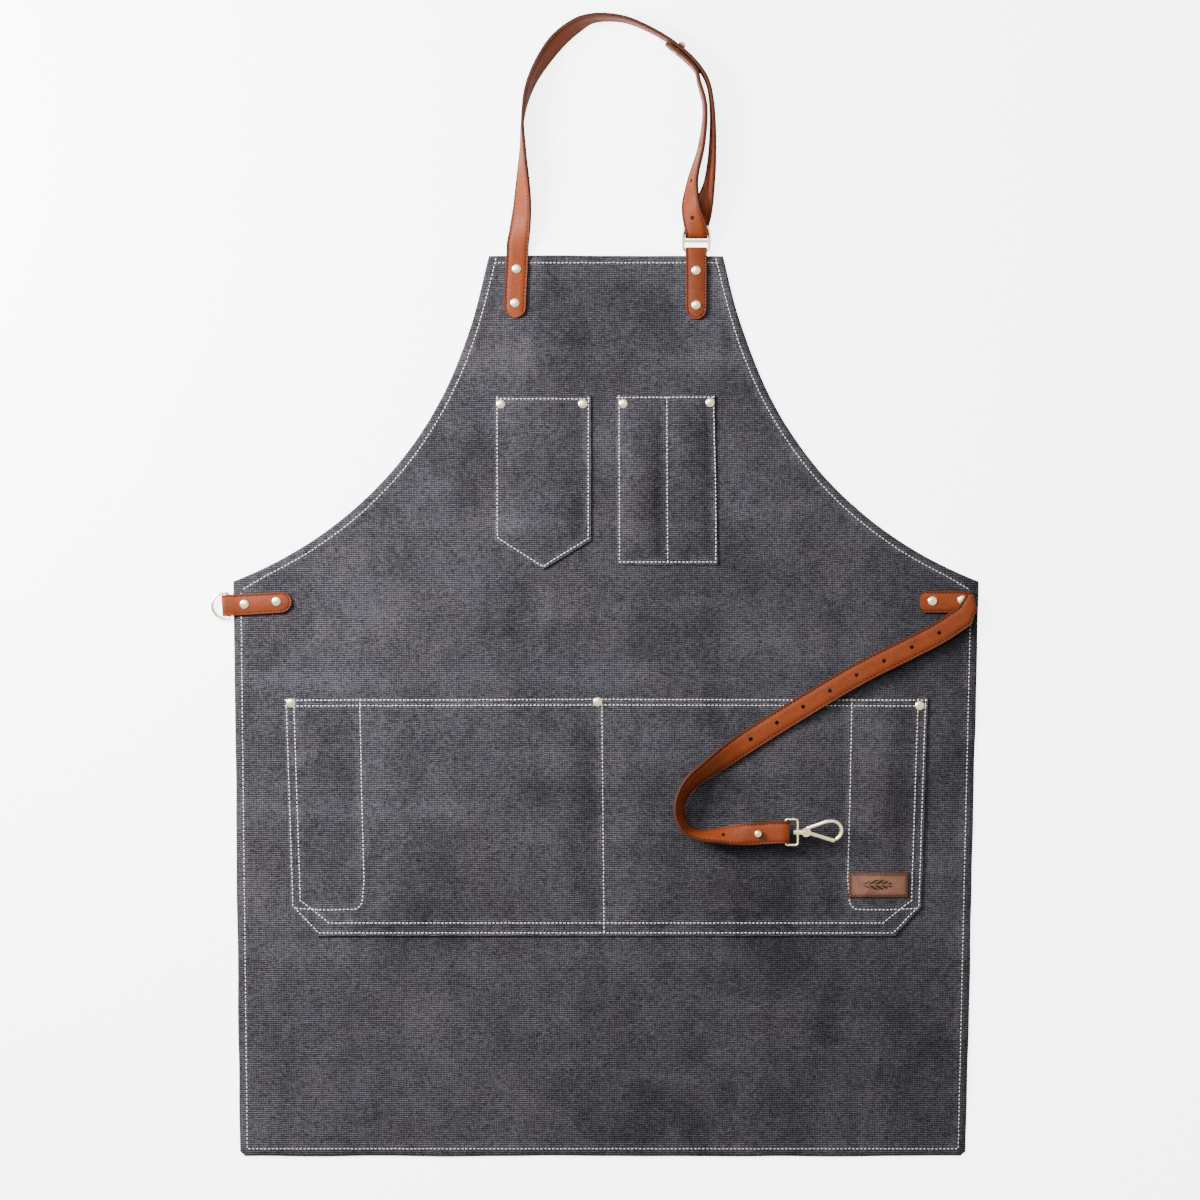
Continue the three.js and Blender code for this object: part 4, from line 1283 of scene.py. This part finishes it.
class APRON_OT_neck_strap(bpy.types.Operator):
    """Models the neck strap from its riveted end through the ring and back to its stud"""

    bl_idname = "apron.neck_strap"
    bl_label = "Neck strap"

    def execute(self, context):
        _, leather, _ = start_work(context)
        course = neck_course()
        y, _, radius = NECK_TURN
        # The strap runs back over itself, so each search is kept to one of its layers.
        turn_at = course.nearest(NECK_TAB_X, y - radius, 260, course.length)
        stud_at = course.nearest(*NECK_STUD, 160, turn_at)
        end = course.nearest(*NECK_TIP, turn_at, course.length)
        button_at = course.nearest(*NECK_BUTTON, turn_at, end)
        stations = course_stations(course, 0, end, round_start=True)
        holes = [hole(course, button_at - NECK_HOLE_PITCH * count + 8) for count in range(2, 7)]
        holes.append(stud_hole(course, stud_at))
        start, stop = (place(0, NECK_EYE_Y + reach, 0) for reach in (-4, 4))
        make_strap("neck_strap", "neck_loop", stations, holes, leather.seam_inset, start, stop)
        return {"FINISHED"}


class APRON_OT_waist_strap(bpy.types.Operator):
    """Models the waist strap from its riveted end over the fold and round the clasp's loop"""

    bl_idname = "apron.waist_strap"
    bl_label = "Waist strap"

    def execute(self, context):
        _, leather, _ = start_work(context)
        up = Vector((0, 0, 1))
        over = Vector((FOLD_LEAN * HALF, -HALF, 0))
        stations = []
        # The riveted end is rounded, and turns by degrees to the slant of the fold.
        for x, share in ((295, 0.55), (296.5, 0.85), (298.5, 1), (310, 1), (322, 1), (334, 1)):
            slant = max(0, (x - 322) / 22)
            across = Vector((slant * over.x, -HALF * share, 0))
            stations.append((Vector((x, FOLD[1], EYE_HEIGHT)), across, up, 1.0))
        radius = (FOLDED_HEIGHT - EYE_HEIGHT) / 2
        middle = Vector((FOLD[0] - 1.0, FOLD[1] - 1.2, (EYE_HEIGHT + FOLDED_HEIGHT) / 2))
        outward = Vector((1, FOLD_LEAN, 0)).normalized()
        for angle in range(-90, 91, 18):
            a = math.radians(angle)
            spoke = outward * math.cos(a) + up * math.sin(a)
            stations.append((middle + spoke * radius, over, -spoke, 1.0))
        course = waist_course()
        start = course.nearest(336.5, 508.2, 0, 60)
        stations += course_stations(course, start, course.length, turn=-1)
        # Each search is kept to the stretch of the strap that it is meant for.
        turn_at = course.nearest(CLASP[0] + LOOP_TURN, CLASP[1], 300, course.length)
        stud_at = course.nearest(*WAIST_STUD, 200, turn_at - 10)
        tip_hole = course.nearest(*WAIST_TIP_HOLE, 200, turn_at - 10)
        first_hole = course.nearest(*WAIST_FIRST_HOLE, 0, 100)
        distances = [first_hole + WAIST_HOLE_PITCH * count for count in range(8)] + [tip_hole]
        holes = [hole(course, distance) for distance in distances]
        holes.append(stud_hole(course, stud_at))
        start, stop = place(0, 0, LEATHER), place(0, 0, LEATHER + 1.9)
        make_strap("waist_strap", "waist_strap", stations, holes, leather.seam_inset, start, stop)
        return {"FINISHED"}


TAB_PROFILE = [
    (1.0, 0.0), (1.0, 0.5), (0.98, 0.85), (0.95, 1.0),
    (0.83, 1.0), (0.80, 0.8), (0.76, 0.8), (0.73, 1.0),
]
TAB_HALF = 10
TAB_LAYER = 1.45
TAB_WRAP = 2.45  # from the bar's centre to the middle of the strip round it


def tab_stations(length, slot):
    """A tab's strip, from its rounded lower end up round the ring's bar and back on top."""
    up = Vector((0, 0, 1))
    thick = TAB_LAYER / STRAP_THICK
    rise = TAB_LAYER / 2 + 0.03
    rounded = [-length + step for step in end_steps(TAB_HALF, (12, 25, 40, 55, 72))]
    lower, upper = [], []
    for y in rounded + list(np.arange(-length + 11, -4, 6.0)):
        across = Vector((TAB_HALF * round_share(y + length, TAB_HALF), 0, 0))
        lower.append((Vector((0, y, EYE_HEIGHT - rise)), across, up, thick))
        upper.append((Vector((0, y, EYE_HEIGHT + rise)), across, -up, thick))
    wrapped = []
    for angle in range(-90, 91, 15):
        a = math.radians(angle)
        spoke = Vector((0, math.cos(a), math.sin(a)))
        middle = Vector((0, slot, EYE_HEIGHT)) + spoke * TAB_WRAP
        wrapped.append((middle, Vector((TAB_HALF, 0, 0)), -spoke, thick))
    return lower + wrapped + upper[::-1]


def tab_seam(length, reach):
    """Points and headings of the stitches round a tab's lower end and up its two sides."""
    seam = []
    for angle in range(-84, 85, 17):
        a = math.radians(angle)
        point = Vector((reach * math.sin(a), -length + TAB_HALF - reach * math.cos(a), 0))
        seam.append((point, Vector((math.cos(a), math.sin(a), 0))))
    for side in (-1, 1):
        for along in np.arange(-length + TAB_HALF + 1, -3, 3.0):
            seam.append((Vector((side * reach, along, 0)), Vector((0, 1, 0))))
    return seam


class APRON_OT_tabs(bpy.types.Operator):
    """Models the two leather tabs folded round the dee rings"""

    bl_idname = "apron.tabs"
    bl_label = "Ring tabs"

    def execute(self, context):
        _, leather, _ = start_work(context)
        # Node, length from the ring's bar, how far the bar stands past the eye, heading and eye.
        jobs = [
            ("neck_tab", 64.5, 0.0, 0.0, (NECK_TAB_X, NECK_EYE_Y)),
            ("waist_tab", 59.0, 3.4, math.pi / 2 + WAIST_TAB_TILT, WAIST_EYE),
        ]
        up = Vector((0, 0, 1))
        for node, length, slot, heading, (x, y) in jobs:
            turn = Matrix.Rotation(heading, 3, "Z")
            stations = [
                (turn @ centre + Vector((x, y, 0)), turn @ across, turn @ normal, thick)
                for centre, across, normal, thick in tab_stations(length, slot)
            ]
            tab = ribbon(f"{node}_leather", stations, TAB_PROFILE)
            smooth_shade(tab, LEATHER_SMOOTH)
            fit_out(tab, "tan_leather", [node], "leather")
            places = [
                (turn @ point + Vector((x, y, LEATHER)), turn @ along, up)
                for point, along in tab_seam(length, TAB_HALF - leather.seam_inset)
            ]
            sew(f"{node}_stitches", places, (2.2, 1.0, 0.6), "brown_thread")
        return {"FINISHED"}


class APRON_OT_label(bpy.types.Operator):
    """Makes the small stitched leather label with a plain leaf pressed into it"""

    bl_idname = "apron.label"
    bl_label = "Label"

    def execute(self, context):
        start_work(context)
        centre = np.array((255.7, 255.3))
        half = np.array((28, 11.75))
        thickness = 1.3
        seam_inset = 2.2

        def shape(u, v):
            return centre + (2 * np.array((u, v)) - 1) * half

        def inside(plan):
            return np.min(half - np.abs(plan - centre), axis=1)

        def leaf(plan):
            """A mask of the leaf's blade, without the midrib and with the veins cut out."""
            across, up = ((plan - centre) / (17, 5.2)).T
            blade = np.maximum(0, 1 - across**2) ** 1.2 - np.abs(up)
            veins = np.abs(np.sin(9 * (across - 0.5 * np.abs(up)))) > 0.45
            return smooth(blade, 0.0, 0.12) * ((np.abs(up) > 0.09) & veins)

        def top(plan):
            rounded = 0.4 * (1 - smooth(inside(plan), 0, 0.8))
            return POCKETS["lower"].top(plan) + thickness - rounded - 0.3 * leaf(plan)

        def bottom(plan):
            return POCKETS["lower"].top(plan) - 0.1

        label, plan = cloth_grid(150, 64, shape, top, bottom, "label_leather_patch")
        set_attribute(label, "across", 1 - np.clip(inside(plan), 0, 12) / 12)
        set_attribute(label, "pressed", leaf(plan))
        fit_out(label, "label_leather", ["leather_label"], "leather")
        turns = ((-1, -1), (1, -1), (1, 1), (-1, 1), (-1, -1))
        corners = [centre + (half - seam_inset) * turn for turn in turns]
        places = []
        for line in zip(corners, corners[1:]):
            for spot, heading in resample(line, 2.6):
                z = POCKETS["lower"].top(np.array([spot]))[0] + thickness
                places.append((Vector((*spot, z)), Vector((*heading, 0)), Vector((0, 0, 1))))
        sew("label_stitches", places, (1.8, 0.8, 0.6), "brown_thread")
        return {"FINISHED"}


class APRON_OT_rivets(bpy.types.Operator):
    """Turns one domed rivet cap and sets a copy at every riveted corner"""

    bl_idname = "apron.rivets"
    bl_label = "Rivet caps"

    def execute(self, context):
        start_work(context)
        # Radius and height, from the dome's top over the rim and back underneath.
        profile = [
            (0, 1.65), (2.2, 1.55), (3.3, 1.3), (4.05, 0.85),
            (4.5, 0.35), (4.5, 0.0), (4.0, -0.15), (0, -0.15),
        ]
        deselect()
        bpy.ops.mesh.primitive_circle_add(vertices=3, radius=1)
        model = bpy.context.object
        bpy.ops.object.mode_set(mode="EDIT")
        bpy.ops.mesh.select_all(action="SELECT")
        bpy.ops.mesh.merge(type="CENTER")
        bpy.ops.transform.translate(value=(0, 0, profile[0][1]))
        for (r, z), (next_r, next_z) in zip(profile, profile[1:]):
            step = {"value": (next_r - r, 0, next_z - z)}
            bpy.ops.mesh.extrude_region_move(TRANSFORM_OT_translate=step)
        bpy.ops.mesh.select_all(action="SELECT")
        bpy.ops.mesh.spin(steps=32, angle=2 * math.pi, center=(0, 0, 0), axis=(0, 0, 1))
        bpy.ops.mesh.select_all(action="SELECT")
        bpy.ops.mesh.remove_doubles(threshold=0.001)
        bpy.ops.mesh.normals_make_consistent(inside=False)
        bpy.ops.object.mode_set(mode="OBJECT")
        for name, (x, y, seat) in RIVETS.items():
            cap = model.copy()
            cap.data = model.data.copy()
            bpy.context.scene.collection.objects.link(cap)
            cap.data.transform(Matrix.Translation(place(x, y, seat)) @ Matrix.Scale(0.001, 4))
            settle(cap, f"rivet_dome_{name}")
            smooth_shade(cap)
            fit_out(cap, "pale_brass", [f"rivet_cap_{name}"], "brass")
        bpy.data.objects.remove(model)
        return {"FINISHED"}


class APRON_OT_stage(bpy.types.Operator):
    """Sets the pale floor, the soft lights and the camera above the apron"""

    bl_idname = "apron.stage"
    bl_label = "Floor, lights and camera"

    def execute(self, context):
        deselect()
        bpy.ops.mesh.primitive_plane_add(size=60, location=(0, 0.5, 0))
        floor = settle(bpy.context.object, "studio_floor")
        paper, shader, principled, _ = new_material("floor_paper")
        seen = shader.node("ShaderNodeLightPath").outputs["Is Camera Ray"]
        shader.fill(principled, {
            "Base Color": (0.93, 0.93, 0.94),
            "Roughness": 0.9,
            "Emission Color": (1, 1, 1),
            "Emission Strength": shader.times(seen, 4.5),
        })
        dress(floor, paper)

        middle = place(-5.6, 522.6, 0)
        # Name, place from the apron's middle and size in metres, and watts.
        lamps = [
            ("key", Vector((-1.05, 0.5, 0.75)), 0.5, 64.0),
            ("top", Vector((-0.7, 1.0, 2.3)), 1.4, 52.0),
            ("fill", Vector((1.9, -0.3, 1.9)), 1.8, 3.0),
        ]
        for name, away, size, watts in lamps:
            data = bpy.data.lights.new(f"{name}_light", "AREA")
            data.shape = "SQUARE"
            data.size = size
            data.energy = watts
            lamp = bpy.data.objects.new(f"{name}_light", data)
            lamp.location = middle + away
            lamp.rotation_euler = (-away).to_track_quat("-Z", "Y").to_euler()
            context.scene.collection.objects.link(lamp)

        world = bpy.data.worlds.new("studio")
        world.use_nodes = True
        sky = Shader(world.node_tree)
        glossy = sky.node("ShaderNodeLightPath").outputs["Is Glossy Ray"]
        strength = sky.math("ADD", sky.times(glossy, 0.85), 0.26)
        background = world.node_tree.nodes["Background"]
        sky.fill(background, {"Color": (1, 1, 1), "Strength": strength})
        context.scene.world = world

        view_width = 1.128  # of the floor, in metres
        lens = bpy.data.cameras.new("camera")
        lens.sensor_width = 36
        lens.lens = 100
        camera = bpy.data.objects.new("camera", lens)
        camera.location = middle + Vector((0, 0, view_width * lens.lens / lens.sensor_width))
        context.scene.collection.objects.link(camera)
        context.scene.camera = camera
        return {"FINISHED"}


STEPS = (
    APRON_OT_materials,
    APRON_OT_panel,
    APRON_OT_pockets,
    APRON_OT_stitching,
    APRON_OT_label,
    APRON_OT_neck_strap,
    APRON_OT_waist_strap,
    APRON_OT_tabs,
    APRON_OT_rivets,
    APRON_OT_stage,
)


class APRON_PT_panel(bpy.types.Panel):
    """Lists the apron's settings and its steps"""

    bl_idname = "APRON_PT_panel"
    bl_label = "Work apron"
    bl_space_type = "VIEW_3D"
    bl_region_type = "UI"
    bl_category = "Apron"

    def draw(self, context):
        for group in apron_settings(context.scene):
            box = self.layout.box()
            for name in group.bl_rna.properties.keys():
                if name not in ("rna_type", "name"):
                    box.prop(group, name)
        for step in STEPS:
            self.layout.operator(step.bl_idname)


CLASSES = (*SETTINGS.values(), *STEPS, APRON_PT_panel)


def register():
    for cls in CLASSES:
        bpy.utils.register_class(cls)
    for name, kind in SETTINGS.items():
        setattr(bpy.types.Scene, name, PointerProperty(type=kind))


def unregister():
    for name in SETTINGS:
        delattr(bpy.types.Scene, name)
    for cls in reversed(CLASSES):
        bpy.utils.unregister_class(cls)


def main():
    register()
    for step in STEPS:
        group, name = step.bl_idname.split(".")
        getattr(getattr(bpy.ops, group), name)()


if __name__ == "__main__":
    main()
